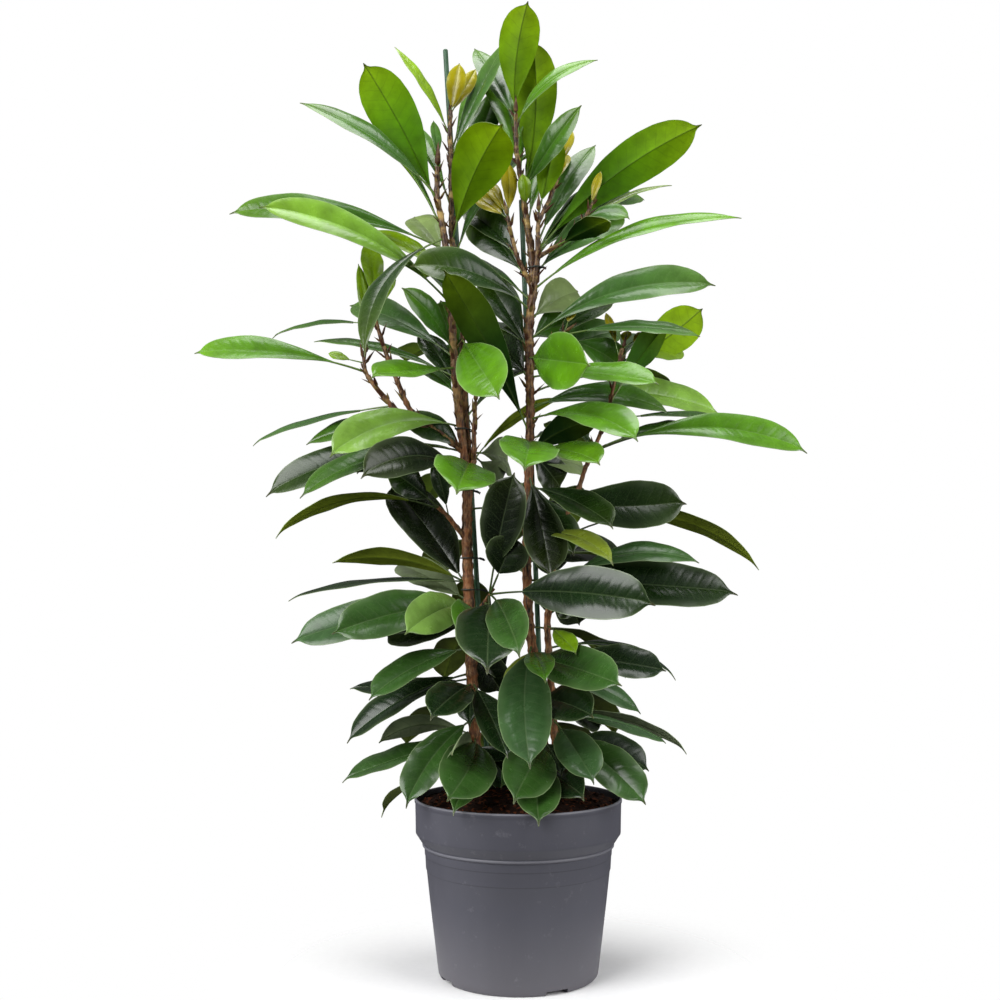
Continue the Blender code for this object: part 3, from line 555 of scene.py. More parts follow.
# %% Branches: radius at the root, radius at the tip, then points of x, z, toward
LEFT_WOOD = (
    (7.5, 6.0, ((-47, 200, 0), (-49, 240, 0), (-54, 340, 2), (-58, 440, 2), (-60, 500, 0), (-59, 585, 0))),
    (5.5, 3.2, ((-59, 570, 0), (-66, 620, 6), (-71, 660, 8), (-76, 720, 8), (-80, 800, 8), (-86, 850, 8),
                (-91, 880, 8), (-97, 910, 8), (-96, 945, 8))),
    (5.5, 2.4, ((-58, 575, 0), (-63, 640, -6), (-66, 700, -8), (-67, 755, -8), (-73, 800, -6),
                (-79, 860, -6), (-80, 955, -4), (-82, 985, -2), (-80, 1015, 0))),
    (3.5, 2.4, ((-59, 560, 0), (-51, 590, 4), (-52, 620, 6), (-50, 660, 6))),
    (3.5, 2.2, ((-60, 497, 0), (-72, 512, 6), (-85, 529, 10), (-95, 536, 12))),
    (4.0, 2.0, ((-62, 600, 2), (-78, 612, 10), (-128, 650, 16), (-155, 715, 16), (-165, 745, 14),
                (-170, 762, 14))),
    (3.5, 2.0, ((-92, 621, 12), (-145, 651, 18), (-178, 690, 16), (-184, 705, 12), (-180, 730, 8))),
    (2.4, 1.6, ((-57, 400, 2), (-44, 418, 14), (-28, 440, 24))),
)
RIGHT_WOOD = (
    (6.0, 5.0, ((34, 200, 0), (32, 240, 0), (22, 330, 0), (13, 400, 0), (10, 470, 0), (13, 580, 0),
                (15, 640, 0), (14, 700, 0), (14, 760, 0), (19, 797, 0))),
    (5.0, 2.4, ((19, 790, 0), (17, 835, -2), (11, 880, -4), (4, 930, -4), (-2, 970, -2), (-2, 1010, 0))),
    (4.0, 2.4, ((17, 785, 0), (24, 840, 6), (25, 890, 8))),
    (3.0, 2.2, ((17, 800, 0), (-1, 835, 4), (-7, 860, 4), (-12, 885, 4))),
    (3.0, 1.8, ((24, 835, 6), (46, 848, 4), (68, 862, 2), (84, 888, 0), (90, 902, 0))),
    (2.8, 1.8, ((25, 878, 8), (38, 905, 4), (49, 932, 0), (51, 950, 0))),
    (3.0, 1.8, ((14, 708, 0), (36, 728, 8), (57, 745, 12))),
)
LOW_WOOD = (
    (5.5, 2.4, ((46, 200, 10), (45, 240, 10), (40, 300, 12), (34, 400, 16), (45, 500, 20), (72, 557, 22),
                (80, 585, 22))),
    (2.6, 1.8, ((78, 577, 22), (92, 610, 20), (105, 640, 18), (118, 700, 16), (125, 725, 16))),
)
STEM_FOOT = 110  # the trunks end this high, in the soil
PLANTS = {"stem_left": "left", "stem_right": "right", "stem_right_low": "low"}  # solid, and name in pieces
paths = {}
for plant, wood in zip(PLANTS, (LEFT_WOOD, RIGHT_WOOD, LOW_WOOD)):
    paths[plant] = [branch_path(branch) for branch in wood]
    points, radii = paths[plant][0]
    foot = Vector((points[0].x, points[0].y, STEM_FOOT))
    paths[plant][0] = ([foot] + points, [radii[0]] + radii)
print("branches:", {plant: len(paths[plant]) for plant in PLANTS})

# %% [markdown]
# ## Wood
# A fig's stem is jointed: every leaf leaves a raised scar that runs round it, so it swells each 14 mm or so,
# and bends a little there. It could be sculpted, or made as a bevelled curve whose radius goes up and down.
# The curve is used, because a curve follows the stem's bends without twisting. It is then turned to a mesh,
# and a displace modifier roughens the bark.

# %% Make a knobbly stem along a path
SAMPLE = 3.5  # mm between points along a stem
SCAR_SPACING = 14
SCAR_SWELL, SCAR_REACH = 0.20, 2.4  # share of the radius, and mm to each side
SCAR_SHIFT = 3  # mm from the scars of one branch to those of the next
SLIM = 0.93  # of the radius, between scars
ROUNDING = 10  # mm to each side, over which a bend is smoothed
BAR_SIDES, WIRE_SIDES = 12, 6
RELIEF_SIZE, RELIEF_DEPTH = 0.005, 0.0016  # metres, of the bark's roughness
WELD = 0.00001  # metres within which two points become one


def finely(path):
    """A path's points and radii, closely spaced and with rounded bends."""
    points, radii = path
    spots, sizes = [], []
    for low, high, *ends in zip(points, points[1:], radii, radii[1:]):
        count = max(round((high - low).length / SAMPLE), 1)
        for index in range(count):
            spots.append(low.lerp(high, index / count))
            sizes.append(between(ends, index / count))
    spots.append(points[-1])
    sizes.append(radii[-1])
    reach = round(ROUNDING / SAMPLE)
    rounded = []
    for index in range(len(spots)):
        width = min(reach, index, len(spots) - 1 - index)
        near = spots[index - width:index + width + 1]
        rounded.append(sum(near, Vector()) / len(near))
    return rounded, sizes


def bevelled_curve(points, radii, sides, closed=False):
    """A round bar through points in mm, with a radius at each, as a mesh."""
    bpy.ops.object.select_all(action="DESELECT")
    bpy.ops.curve.primitive_bezier_curve_add(location=(0, 0, 0))
    curve = bpy.context.object.data
    curve.splines.clear()
    line = curve.splines.new("POLY")
    line.points.add(len(points) - 1)
    line.use_cyclic_u = closed
    for spot, point, radius in zip(line.points, points, radii):
        spot.co = (*(point * MM), 1)
        spot.radius = radius
    curve.bevel_depth = MM
    curve.bevel_resolution = (sides - 4) // 2
    curve.use_fill_caps = not closed
    bpy.ops.object.convert(target="MESH")
    with editing():
        bpy.ops.mesh.remove_doubles(threshold=WELD)
        face_outward()
    return bpy.context.object


bark_relief = bpy.data.textures.new("bark relief", "CLOUDS")
bark_relief.noise_scale = RELIEF_SIZE
bark_relief.noise_depth = 2


def knobbly_stem(path, first_scar):
    points, radii = finely(path)
    run = 0
    swollen = []
    for index, radius in enumerate(radii):
        run += (points[index] - points[index - 1]).length if index else 0
        off = (run - first_scar) % SCAR_SPACING - SCAR_SPACING / 2
        swollen.append(radius * (SLIM + SCAR_SWELL * math.exp(-(off / SCAR_REACH) ** 2)))
    stem = bevelled_curve(points, swollen, BAR_SIDES)
    rough = stem.modifiers.new("bark", "DISPLACE")
    rough.texture = bark_relief
    rough.texture_coords = "GLOBAL"
    rough.strength = RELIEF_DEPTH
    rough.mid_level = 0.5
    apply_modifiers(stem)
    smooth(stem, 60)
    return stem


woods = {plant: join([knobbly_stem(path, SCAR_SHIFT * number) for number, path in enumerate(paths[plant])])
         for plant in PLANTS}

# %% [markdown]
# ### Fig bark
# Old fig bark is reddish brown and dull, with paler corky scars. Young shoots are green to straw brown and
# smoother. The colour therefore goes with height, from one to the other, and the scars are rings of about
# the spacing that the leaves had. Fine streaks run along the stem.

# %% Bark material
BAND_LENGTH = 1 / 3.18  # metres between the bands of a pattern with scale 1
bark, tree, shader = new_material("fig bark", {"Specular IOR Level": 0.35})
place = add_node(tree, "TexCoord", "Object")
height = add_node(tree, "SeparateXYZ", "Z", {"Vector": place})
youth = add_node(tree, "MapRange", "Result", {"Value": height, "From Min": 0.55, "From Max": 0.88})
drawn_out = add_node(tree, "Mapping", "Vector", {"Vector": place, "Scale": (1, 1, 0.22)})
squat = add_node(tree, "Mapping", "Vector", {"Vector": place, "Scale": (0.6, 0.6, 1)})
streaks = add_node(tree, "TexNoise", "Fac", {
    "Vector": drawn_out, "Scale": 520, "Detail": 5, "Roughness": 0.65,
})
cracks = add_node(tree, "TexNoise", "Fac", {"Vector": drawn_out, "Scale": 190, "Detail": 4, "Roughness": 0.6})
joints = add_node(tree, "TexNoise", "Fac", {"Vector": squat, "Scale": 62, "Detail": 4, "Roughness": 0.6})
ages = []
for spots, start, end, low, high in (  # old bark with its cracks, and young bark with its joints
    (cracks, 0.38, 0.62, "#140a06", "#7c4a28"), (joints, 0.50, 0.64, "#2b190f", "#ab9150"),
):
    share = add_node(tree, "MapRange", "Result", {"Value": spots, "From Min": start, "From Max": end})
    ages.append(add_node(tree, "Mix", COLOUR_OUT, {
        "Factor": share, COLOUR_A: linear(low), COLOUR_B: linear(high),
    }, data_type="RGBA"))
brown = add_node(tree, "Mix", COLOUR_OUT, {
    "Factor": youth, COLOUR_A: ages[0], COLOUR_B: ages[1],
}, data_type="RGBA")
scars = add_node(tree, "TexWave", "Fac", {
    "Vector": place, "Scale": BAND_LENGTH / (SCAR_SPACING * MM), "Distortion": 2.5, "Detail Scale": 2,
}, bands_direction="Z")
scarred = add_node(tree, "MapRange", "Result", {
    "Value": scars, "From Min": 0.72, "From Max": 0.95, "To Max": 0.45,
})
brown = add_node(tree, "Mix", COLOUR_OUT, {
    "Factor": scarred, COLOUR_A: brown, COLOUR_B: linear("#2b1710"),
}, data_type="RGBA")
streaked = add_node(tree, "MapRange", "Result", {
    "Value": streaks, "From Min": 0.45, "From Max": 0.70, "To Max": 0.48,
})
feed(tree, shader, {
    "Base Color": add_node(tree, "Mix", COLOUR_OUT, {
        "Factor": streaked, COLOUR_A: brown, COLOUR_B: linear("#bd9464"),
    }, data_type="RGBA"),
    "Roughness": add_node(tree, "MapRange", "Result", {"Value": youth, "To Min": 0.60, "To Max": 0.45}),
    "Normal": add_node(tree, "Bump", "Normal", {"Height": streaks, "Strength": 0.6, "Distance": 0.0006}),
})
for plant, side in PLANTS.items():
    dress(woods[plant], "wood_" + side, bark, "plant", plant)

# %% [markdown]
# ## Where each leaf sits
# The solids hold a plain folded strip for each leaf. Its place was settled there by trying small moves until
# it missed all its neighbours. A dressed leaf has to stand in just that place, so each listed leaf is tried
# in the same order here, and the try whose corners are corners of the solid is kept.

# %% Front leaves: root x and z, tip x and z, toward, width, show, arch, and look
# Show is the share of its width that the eye sees, with a minus for the underside. Arch is how far its
# middle stands over its chord. The look names the colours of the side that the eye sees.
LEFT_LEAVES = (
    # Crown
    (-97, 890, -186, 1073, 20, 58, -1.0, 5, "meadow"),
    (-97, 905, -262, 1024, 30, 40, 0.5, 12, "grey"),
    (-84, 985, -148, 1093, 0, 26, 0.45, 3, "lime"),
    (-80, 1010, -70, 1073, 6, 24, 1.0, 0, "young"),
    (-81, 1010, -50, 1066, -14, 18, 1.0, 0, "young"),
    (-96, 942, -101, 1002, 0, 16, 0.8, 0, "grey"),
    (-80, 955, -11, 1104, -10, 34, 0.62, 0, "grey"),
    (-79, 855, -18, 998, 70, 66, -1.0, 9, "sunlit"),
    (-80, 905, -25, 1043, -110, 38, 0.9, -8, "grey"),
    # Upper left
    (-92, 840, -345, 890, 20, 42, 0.7, 14, "green"),
    (-82, 775, -310, 897, 70, 42, 0.8, 20, "fresh"),
    (-90, 855, -182, 722, 110, 34, 0.6, 26, "dark"),
    (-76, 712, -200, 777, -80, 45, 0.8, 6, "grey"),
    (-160, 752, -292, 740, -60, 24, 0.3, 8, "green"),
    (-180, 690, -384, 720, 40, 44, 0.6, 7, "bright"),
    (-76, 688, -242, 734, -40, 30, 0.35, 9, "green"),
    (-183, 704, -225, 720, 6, 14, 0.7, -2, "lime"),
    (-76, 715, -138, 798, 80, 34, 0.8, 6, "green"),
    (-68, 700, -92, 783, -30, 42, 0.9, 0, "green"),
    (-72, 668, -118, 745, -30, 34, 0.9, 4, "dark"),
    (-64, 738, -22, 667, 165, 58, 1.0, 0, "bright"),
    (-76, 700, -174, 694, 120, 44, 0.5, -4, "bright"),
    (-72, 665, -112, 700, -60, 24, 0.8, 4, "green"),
    # Young shoots on the left
    (-170, 760, -178, 856, 0, 30, 0.9, 0, "lime"),
    (-168, 755, -148, 815, -20, 18, 0.9, 0, "lime"),
    (-180, 728, -190, 827, 16, 18, 0.8, 0, "lime"),
    # Middle left
    (-148, 652, -313, 612, -30, 30, 0.25, 5, "grey"),
    (-92, 622, -250, 611, 0, 40, 0.6, 12, "green"),
    (-66, 622, -222, 598, 80, 50, 0.75, 20, "fresh"),
    (-60, 590, -297, 551, 4, 46, 0.8, 20, "dark"),
    (-60, 588, -257, 548, 60, 42, 0.55, 24, "green"),
    (-60, 575, -228, 580, -50, 44, 0.8, 12, "dark"),
    (-60, 572, -185, 574, 120, 48, 0.85, 28, "deep"),
    (-92, 535, -285, 504, 20, 32, -0.4, 24, "olive"),
    (-94, 535, -156, 584, 60, 40, 0.9, 0, "dark"),
    (-82, 525, -100, 592, 40, 24, 0.9, 0, "dark"),
    (-58, 440, -150, 564, -60, 62, 0.9, 0, "deep"),
    (-59, 588, -72, 556, 175, 70, 1.0, 0, "bright"),
    (-51, 592, 50, 665, -90, 26, -0.5, 10, "olive"),
    (-51, 600, -12, 590, -140, 50, 0.9, 6, "pale"),
    # Lower left
    (-58, 445, -218, 471, 10, 38, -0.55, 13, "olive"),
    (-58, 440, -269, 429, -20, 30, 0.2, 8, "dark"),
    (-57, 425, -142, 470, -90, 46, 0.8, 0, "pale"),
    (-57, 425, -218, 388, 60, 56, 0.9, 3, "green"),
    (-57, 418, -265, 379, 10, 52, 0.85, 4, "grey"),
    (-57, 420, -132, 388, 140, 48, 0.95, 14, "fresh"),
    (-44, 418, -71, 388, 150, 52, 1.0, 0, "bright"),
    (-28, 437, -36, 347, 160, 70, 1.0, 0, "dark"),
    (-28, 440, 161, 423, 130, 60, 0.95, 5, "dark"),
    (-36, 430, 2, 366, 110, 36, 0.9, 0, "green"),
    (-56, 398, -155, 386, -60, 46, 0.8, -4, "deep"),
    (-28, 438, -4, 577, 60, 52, 0.95, 0, "deep"),
    (-54, 372, -174, 312, 60, 44, 0.65, 6, "green"),
    (-54, 336, -196, 326, -40, 34, 0.6, -8, "dark"),
    (-54, 342, -199, 264, 20, 44, 0.6, 8, "dark"),
    (-54, 330, -102, 292, 110, 46, 0.9, 0, "dark"),
    (-50, 268, -162, 262, -30, 36, -0.6, 16, "pale"),
    (-50, 270, -204, 220, 10, 42, 0.5, -1, "green"),
    (-51, 290, -130, 191, 80, 46, 0.9, 8, "green"),
    (-50, 268, -82, 196, 145, 62, 1.0, -22, "green"),
    (-48, 240, -75, 184, 120, 32, 1.0, 0, "green"),
    (-52, 332, -12, 245, 90, 42, 0.9, 0, "dark"),
)
RIGHT_LEAVES = (
    # Crown
    (-2, 1005, 13, 1150, 6, 48, -1.0, 7, "sunlit"),
    (6, 918, 18, 1104, -8, 52, -1.0, -10, "sunlit"),
    (-2, 1000, -52, 1091, -80, 32, 0.9, 0, "grey"),
    (-2, 995, 97, 1077, -60, 24, 0.6, 14, "bright"),
    (6, 915, 77, 1021, 60, 34, 0.8, 0, "green"),
    (24, 885, 48, 988, 30, 34, -1.0, 0, "sunlit"),
    (25, 840, 222, 997, 20, 56, -1.0, 16, "meadow"),
    (50, 942, 54, 990, 2, 14, 0.9, 0, "young"),
    (51, 945, 66, 990, -6, 17, 0.9, 0, "young"),
    (46, 925, 61, 960, 8, 16, 0.9, 0, "young"),
    (88, 898, 100, 940, 0, 12, 0.9, 0, "young"),
    # Upper middle
    (0, 832, -55, 897, -80, 48, 0.9, 0, "dark"),
    (-11, 880, -52, 912, -20, 24, 0.9, 0, "young"),
    (-12, 880, -12, 952, -12, 22, 0.9, 0, "young"),
    (-12, 882, -40, 932, -18, 18, 0.9, 0, "young"),
    (8, 892, 6, 937, 16, 18, 0.9, 0, "lime"),
    (12, 770, -128, 825, 50, 50, 0.8, 16, "dark"),
    (14, 720, -40, 812, -60, 45, 0.9, 0, "dark"),
    (12, 622, -88, 820, 30, 50, -0.9, 0, "dark"),
    # Upper right
    (24, 835, 100, 905, -90, 40, 0.8, 4, "grey"),
    (20, 795, 268, 883, 10, 36, 0.45, 22, "bright"),
    (16, 735, 236, 802, 18, 48, 0.8, 20, "grey"),
    (36, 728, 115, 780, -60, 30, 0.8, 6, "dark"),
    (50, 740, 217, 740, 30, 34, 0.4, 8, "grey"),
    (85, 890, 152, 906, -60, 26, 0.8, 6, "grey"),
    (80, 882, 134, 884, 30, 24, 0.8, 6, "grey"),
    (46, 848, 112, 880, 70, 34, -0.8, 0, "dark"),
    (70, 864, 185, 923, -50, 26, 0.3, 10, "pale"),
    (57, 742, 66, 772, 4, 14, 0.9, 0, "young"),
    (14, 714, 86, 706, 150, 64, 1.0, 0, "bright"),
    # Middle
    (14, 690, 167, 683, 80, 44, 0.5, 6, "bright"),
    (14, 652, 180, 648, 16, 40, 0.7, 17, "green"),
    (14, 640, 142, 617, 130, 50, 0.6, 20, "bright"),
    (14, 655, 240, 648, -40, 50, 0.7, 16, "fresh"),
    (14, 612, 8, 584, 180, 66, 1.0, 0, "bright"),
    (14, 600, 97, 588, 140, 46, 0.45, 12, "meadow"),
    (14, 600, 98, 640, 20, 40, -0.9, 6, "dark"),
    (12, 560, 112, 514, 110, 46, 0.7, 5, "dark"),
    (12, 545, 199, 543, 26, 58, 0.95, -10, "dark"),
    (11, 500, 112, 472, 90, 34, 0.5, 20, "olive"),
    (10, 450, 258, 436, -10, 58, 0.9, -2, "dark"),
    (10, 470, 125, 482, -90, 44, 0.8, 6, "deep"),
    (12, 575, 38, 455, -100, 54, 0.9, 6, "deep"),
    # Lower right, near the soil
    (16, 375, 14, 234, 135, 60, 1.0, 11, "grey"),
    (17, 365, 32, 335, 110, 34, 0.95, 0, "bright"),
    (17, 368, -18, 330, 60, 14, 0.9, 0, "olive"),
    (30, 262, -5, 196, 150, 60, 1.0, 0, "green"),
    (33, 235, 24, 171, 124, 52, 1.0, 20, "green"),
    (33, 228, 76, 200, 84, 40, 0.95, 0, "dark"),
    (26, 312, 88, 292, 135, 50, 0.9, 4, "dark"),
    (18, 360, 121, 328, 130, 54, 0.9, -3, "green"),
    (18, 350, 143, 297, -50, 30, 0.8, 4, "grey"),
)
LOW_LEAVES = (
    (118, 700, 220, 773, -60, 52, -1.0, -6, "lime"),
    (120, 708, 105, 768, -8, 12, 0.9, 0, "young"),
    (124, 718, 131, 746, 0, 14, 0.9, 0, "young"),
    (125, 722, 152, 742, 6, 14, 0.9, 0, "young"),
    (102, 635, 298, 623, -40, 30, 0.3, 12, "green"),
    (86, 598, 342, 603, 22, 42, 0.8, 22, "bright"),
    (36, 440, 213, 472, 30, 40, 0.6, 20, "grey"),
    (45, 495, 283, 466, -20, 34, -0.5, 40, "olive"),
    (36, 362, 173, 345, 40, 46, 0.8, 0, "dark"),
    (37, 372, 184, 338, -30, 34, 0.3, 18, "dark"),
    (34, 398, 68, 366, 80, 24, 0.9, 0, "lime"),
    (40, 300, 196, 253, 10, 30, -0.3, 12, "pale"),
    (41, 292, 172, 262, -70, 36, 0.6, 8, "grey"),
    (41, 290, 88, 218, 110, 48, 0.95, 0, "grey"),
    (43, 275, 148, 192, 90, 50, 0.9, 6, "green"),
    (43, 270, 152, 231, 20, 46, 0.85, 4, "dark"),
)

# %% Small leaves inside the plant, which only the scene has
# They have no strip in the solids. Each fills a gap between other leaves, as in the photograph.
INNER_LEAVES = {
    "stem_left": (
        (-92, 826, -124, 884, -50, 42, 0.9, 2, "pale"),
        (-88, 800, -172, 868, -20, 32, 0.6, 6, "lime"),
        (-62, 600, -139, 638, 20, 40, 0.8, 8, "dark"),
        (-28, 440, 2, 366, 200, 45, 1.0, 12, "green"),
        (-28, 438, -4, 502, 50, 50, 1.0, 0, "deep"),
        (-51, 596, -21, 563, -110, 42, 0.9, 0, "pale"),
        (-52, 372, -14, 348, -35, 44, 0.9, 0, "deep"),
        (-52, 376, -20, 322, -20, 42, 1.0, 0, "deep"),
        (-50, 262, -8, 214, -45, 44, 0.9, 0, "dark"),
        (-50, 330, -56, 285, 40, 32, 0.9, 0, "dark"),
        (-48, 262, -77, 251, 120, 36, -0.6, 6, "pale"),
    ),
    "stem_right": (
        (24, 850, 94, 972, -60, 36, 0.9, 4, "grey"),
        (20, 812, 131, 886, -25, 46, 0.85, 8, "grey"),
        (16, 758, 72, 794, -50, 48, 0.95, 4, "pale"),
        (20, 700, 124, 746, -60, 44, 0.85, 6, "grey"),
        (8, 800, -53, 890, -55, 54, 1.0, 2, "dark"),
        (12, 686, -26, 746, -60, 52, 1.0, 0, "dark"),
        (14, 588, 79, 582, -45, 44, 0.8, 6, "pale"),
        (14, 604, 50, 560, -20, 44, 0.9, 0, "deep"),
        (12, 452, -12, 491, -85, 42, 0.9, 0, "pale"),
        (33, 265, 51, 228, 50, 44, 0.9, 0, "dark"),
        (33, 240, -20, 216, 20, 40, 0.9, 0, "green"),
        (12, 575, 38, 457, 62, 52, 0.95, 0, "deep"),
        (13, 560, 66, 482, 38, 44, 0.9, 0, "dark"),
        (50, 738, 126, 700, -10, 44, 0.9, 4, "green"),
        (14, 735, 62, 754, -40, 44, 0.95, 4, "green"),
    ),
    "stem_right_low": (
        (110, 655, 179, 757, 10, 40, -0.8, 0, "green"),
        (86, 598, 223, 630, -10, 34, 0.5, 8, "green"),
        (34, 440, 72, 412, 36, 46, 0.9, 0, "deep"),
        (40, 300, 97, 285, -20, 40, 0.8, 0, "deep"),
        (119, 704, 193, 729, -75, 46, 0.95, 4, "lime"),
        (42, 468, 72, 399, -20, 42, 1.0, 0, "deep"),
    ),
}

# %% The shape of a leaf's strip in the solids
Blade = namedtuple("Blade", "root tip width top arch stalk")
STALK_SHARE, STALK_MOST = 0.12, 0.45  # of the leaf's length
LEAST_HALF = 0.7  # mm, the least half width of a strip
FOLD = 0.22  # rise of the edges over the midrib, for each mm out
BOW = 0.05  # rise of the middle over the chord, as a share of the length
BLADE_THICK = 0.9
LOW_LEAF = 480  # leaves that grow lower have a fuller outline
SMALL_WIDTH = 41  # narrower leaves have a plainer outline and nearly no fold
STRIP_OUTLINES = {
    "high": ((0.28, 0.60), (0.61, 1.0), (0.89, 0.72), (1.0, 0.03)),
    "low": ((0.25, 0.78), (0.57, 1.0), (0.87, 0.68), (1.0, 0.03)),
    "small": ((0.45, 0.95), (0.85, 0.65), (1.0, 0.04)),
}


def kind_of(blade):
    if blade.width < SMALL_WIDTH:
        return "small"
    return "low" if blade.root.z < LOW_LEAF else "high"


def strip_corners(blade):
    """Points on the upper edges of a leaf's strip, from the tip back."""
    chord = (blade.tip - blade.root).normalized()
    side = chord.cross(blade.top)
    control = (blade.root + blade.tip) / 2 + blade.arch * 2
    kind = kind_of(blade)
    for share, part in reversed(STRIP_OUTLINES[kind]):
        half = max(part * blade.width / 2, LEAST_HALF)
        share = between((blade.stalk, 1), share)
        middle = blade.root * (1 - share) ** 2 + control * (2 * share * (1 - share)) + blade.tip * share ** 2
        along = ((control - blade.root) * (1 - share) + (blade.tip - control) * share).normalized()
        up = side.cross(along).normalized()
        across = along.cross(up)
        rise = 0 if kind == "small" else FOLD * half
        for out in (-half, half):
            yield middle + across * out + up * (rise + BLADE_THICK / 2)


# %% Every place that a listed leaf, or a leaf on the back, may have settled in
DEPTH_STEPS = tuple(side * step for step in range(0, 81, 8) for side in (1, -1))
ROOT_STEPS = (0, 8, -8, 16, -16, 24)
RISE_STEPS = ROOT_STEPS
BACK_ROOTS, BACK_LENGTHS, BACK_WIDTHS, BACK_RISES = (230, 900), (140, 230), (48, 54), (-26, 48)
GOLDEN = 0.618034
BACK_SPREAD = 75  # degrees to each side of straight back
BACK_STEPS = (0, 10, -10, 20, -20, 30, -30, 40, -40, 50, -50)


def top_side(chord, middle, show):
    """The way that a leaf's upper face looks, so that the eye sees this share of its width."""
    eyeward = EYE - middle
    square = (eyeward - chord * eyeward.dot(chord)).normalized()
    across = chord.cross(square) * math.sqrt(1 - show * show)
    return max((square * show + across, square * show - across), key=lambda way: way.z)


def nearest_on(branches, spot):
    """The point of the stems' centre lines that lies nearest to a spot, and its distance."""
    places = []
    for points, _ in branches:
        for low, high in zip(points, points[1:]):
            line = high - low
            places.append(low + line * clamp((spot - low).dot(line) / line.length_squared))
    best = min(places, key=lambda place: (place - spot).length)
    return best, (best - spot).length


def listed_tries(row, branches):
    root_x, root_z, tip_x, tip_z, toward, width, show, arch, _ = row
    for higher in ROOT_STEPS:
        root, off = nearest_on(branches, seen(root_x, root_z + higher, 0))
        for deeper in DEPTH_STEPS:
            tip = seen(tip_x, tip_z, toward + deeper)
            chord = (tip - root).normalized()
            length = (tip - root).length
            top = top_side(chord, (root + tip) / 2, show)
            aside = Vector((-chord.z, 0, chord.x))
            up = aside if aside.z > 0 else -aside
            bend = up * arch + top * (BOW * length * abs(show))
            stalk = min(STALK_SHARE * length + off, STALK_MOST * length)
            yield Blade(root, tip, width, top, bend, stalk / length)


def back_tries(root, number):
    """A leaf on the back: each goes a golden share of the spread further round than the last."""
    share = clamp((root.z - BACK_ROOTS[0]) / (BACK_ROOTS[1] - BACK_ROOTS[0]))
    length, width = between(BACK_LENGTHS, share), between(BACK_WIDTHS, share)
    for tilt in RISE_STEPS:
        lift = math.radians(between(BACK_RISES, share ** 2) + tilt)
        for turn in BACK_STEPS:
            aside = math.radians(BACK_SPREAD * (2 * (number * GOLDEN % 1) - 1) + turn)
            out = Vector((math.sin(aside) * math.cos(lift), math.cos(aside) * math.cos(lift), math.sin(lift)))
            top = out.cross(Vector((0, 0, 1))).normalized().cross(out)
            yield Blade(root, root + out * length, width, top, top * (2 * BOW * length), STALK_SHARE)


# %% Keep the tries that the solids hold
BACK_RUNS = {  # branch, lowest and highest root, and how many leaves
    "stem_left": ((0, 235, 570, 10), (1, 600, 860, 4), (2, 640, 960, 6)),
    "stem_right": ((0, 230, 780, 11), (1, 830, 960, 4)),
    "stem_right_low": ((0, 245, 560, 5), (1, 600, 700, 2)),
}
GREEN_FROM, BRIGHT_FROM = 520, 850  # heights from which a leaf on the back is no longer dark, or green
SAME = 0.25  # mm within which two corners are the same


def corner_tree(node):
    """The solid's corners, in mm, ready to be searched by place."""
    found = KDTree(len(node.data.vertices))
    for index, point in enumerate(node.data.vertices):
        found.insert(point.co / MM, index)
    found.balance()
    return found


def held(corners, blade):
    """Whether nearly all corners of a leaf's strip are corners of the solid."""
    missed = 0
    for spot in strip_corners(blade):
        missed += corners.find(spot)[2] > SAME
        if missed > 1:
            return False
    return True


def settled(corners, tries):
    return next((blade for blade in tries if held(corners, blade)), None)


def back_look(height):
    return "dark" if height < GREEN_FROM else "green" if height < BRIGHT_FROM else "bright"


leaves = {}
lost = 0
for plant, rows in zip(PLANTS, (LEFT_LEAVES, RIGHT_LEAVES, LOW_LEAVES)):
    corners = corner_tree(nodes[plant])
    found = [(settled(corners, listed_tries(row, paths[plant])), row[-1], row[6] < 0) for row in rows]
    lost += sum(blade is None for blade, _, _ in found)
    roots = [crossing(paths[plant][branch], between((low, high), index / (count - 1)))[0]
             for branch, low, high, count in BACK_RUNS[plant] for index in range(count)]
    found += [(settled(corners, back_tries(root, number)), back_look(root.z), False)
              for number, root in enumerate(roots)]
    found += [(next(listed_tries(row, paths[plant])), row[-1], row[6] < 0) for row in INNER_LEAVES[plant]]
    leaves[plant] = [leaf for leaf in found if leaf[0]]
print("leaves:", {plant: len(leaves[plant]) for plant in PLANTS}, "listed leaves not found:", lost)

# %% [markdown]
# ## One leaf, by hand
# An african fig's leaf is long, leathery and widest past its middle, and it ends in a narrow drip tip. A fine
# grid is the start: its columns are drawn together at the midrib, its rows at the tip, and each row is
# scaled to the leaf's outline. The sheet is then extruded to a slab, so that its rim shows as a thin
# edge. Three leaves are modelled in this way: one from the top of the plant, a fuller one from below, and a
# small young one.

# %% Leaf outlines: share of the length, and share of the greatest width
OUTLINES = {
    "high": ((0, .05), (.05, .11), (.12, .24), (.28, .58), (.45, .87), (.60, .99), (.68, 1), (.78, .94),
             (.86, .78), (.91, .57), (.938, .36), (.955, .17), (.968, .08), (.985, .045), (1, .015)),
    "low": ((0, .07), (.04, .18), (.10, .38), (.25, .76), (.42, .96), (.56, 1), (.70, .96), (.80, .84),
            (.87, .66), (.91, .45), (.932, .26), (.948, .12), (.965, .06), (.985, .04), (1, .015)),
    "small": ((0, .10), (.08, .28), (.20, .58), (.45, .94), (.62, .98), (.76, .84), (.86, .57), (.92, .33),
              (.95, .16), (.97, .08), (1, .02)),
}
COLUMNS = (0, .035, .085, .20, .38, .58, .80, 1)  # out from the midrib, as shares of half the width
ROW_COUNT = 32
TIP_CROWDING = 1.5  # the higher, the closer the rows lie at the tip


def resize_width(share):
    bpy.ops.transform.resize(value=(share, 1, 1), center_override=(0, 0, 0))


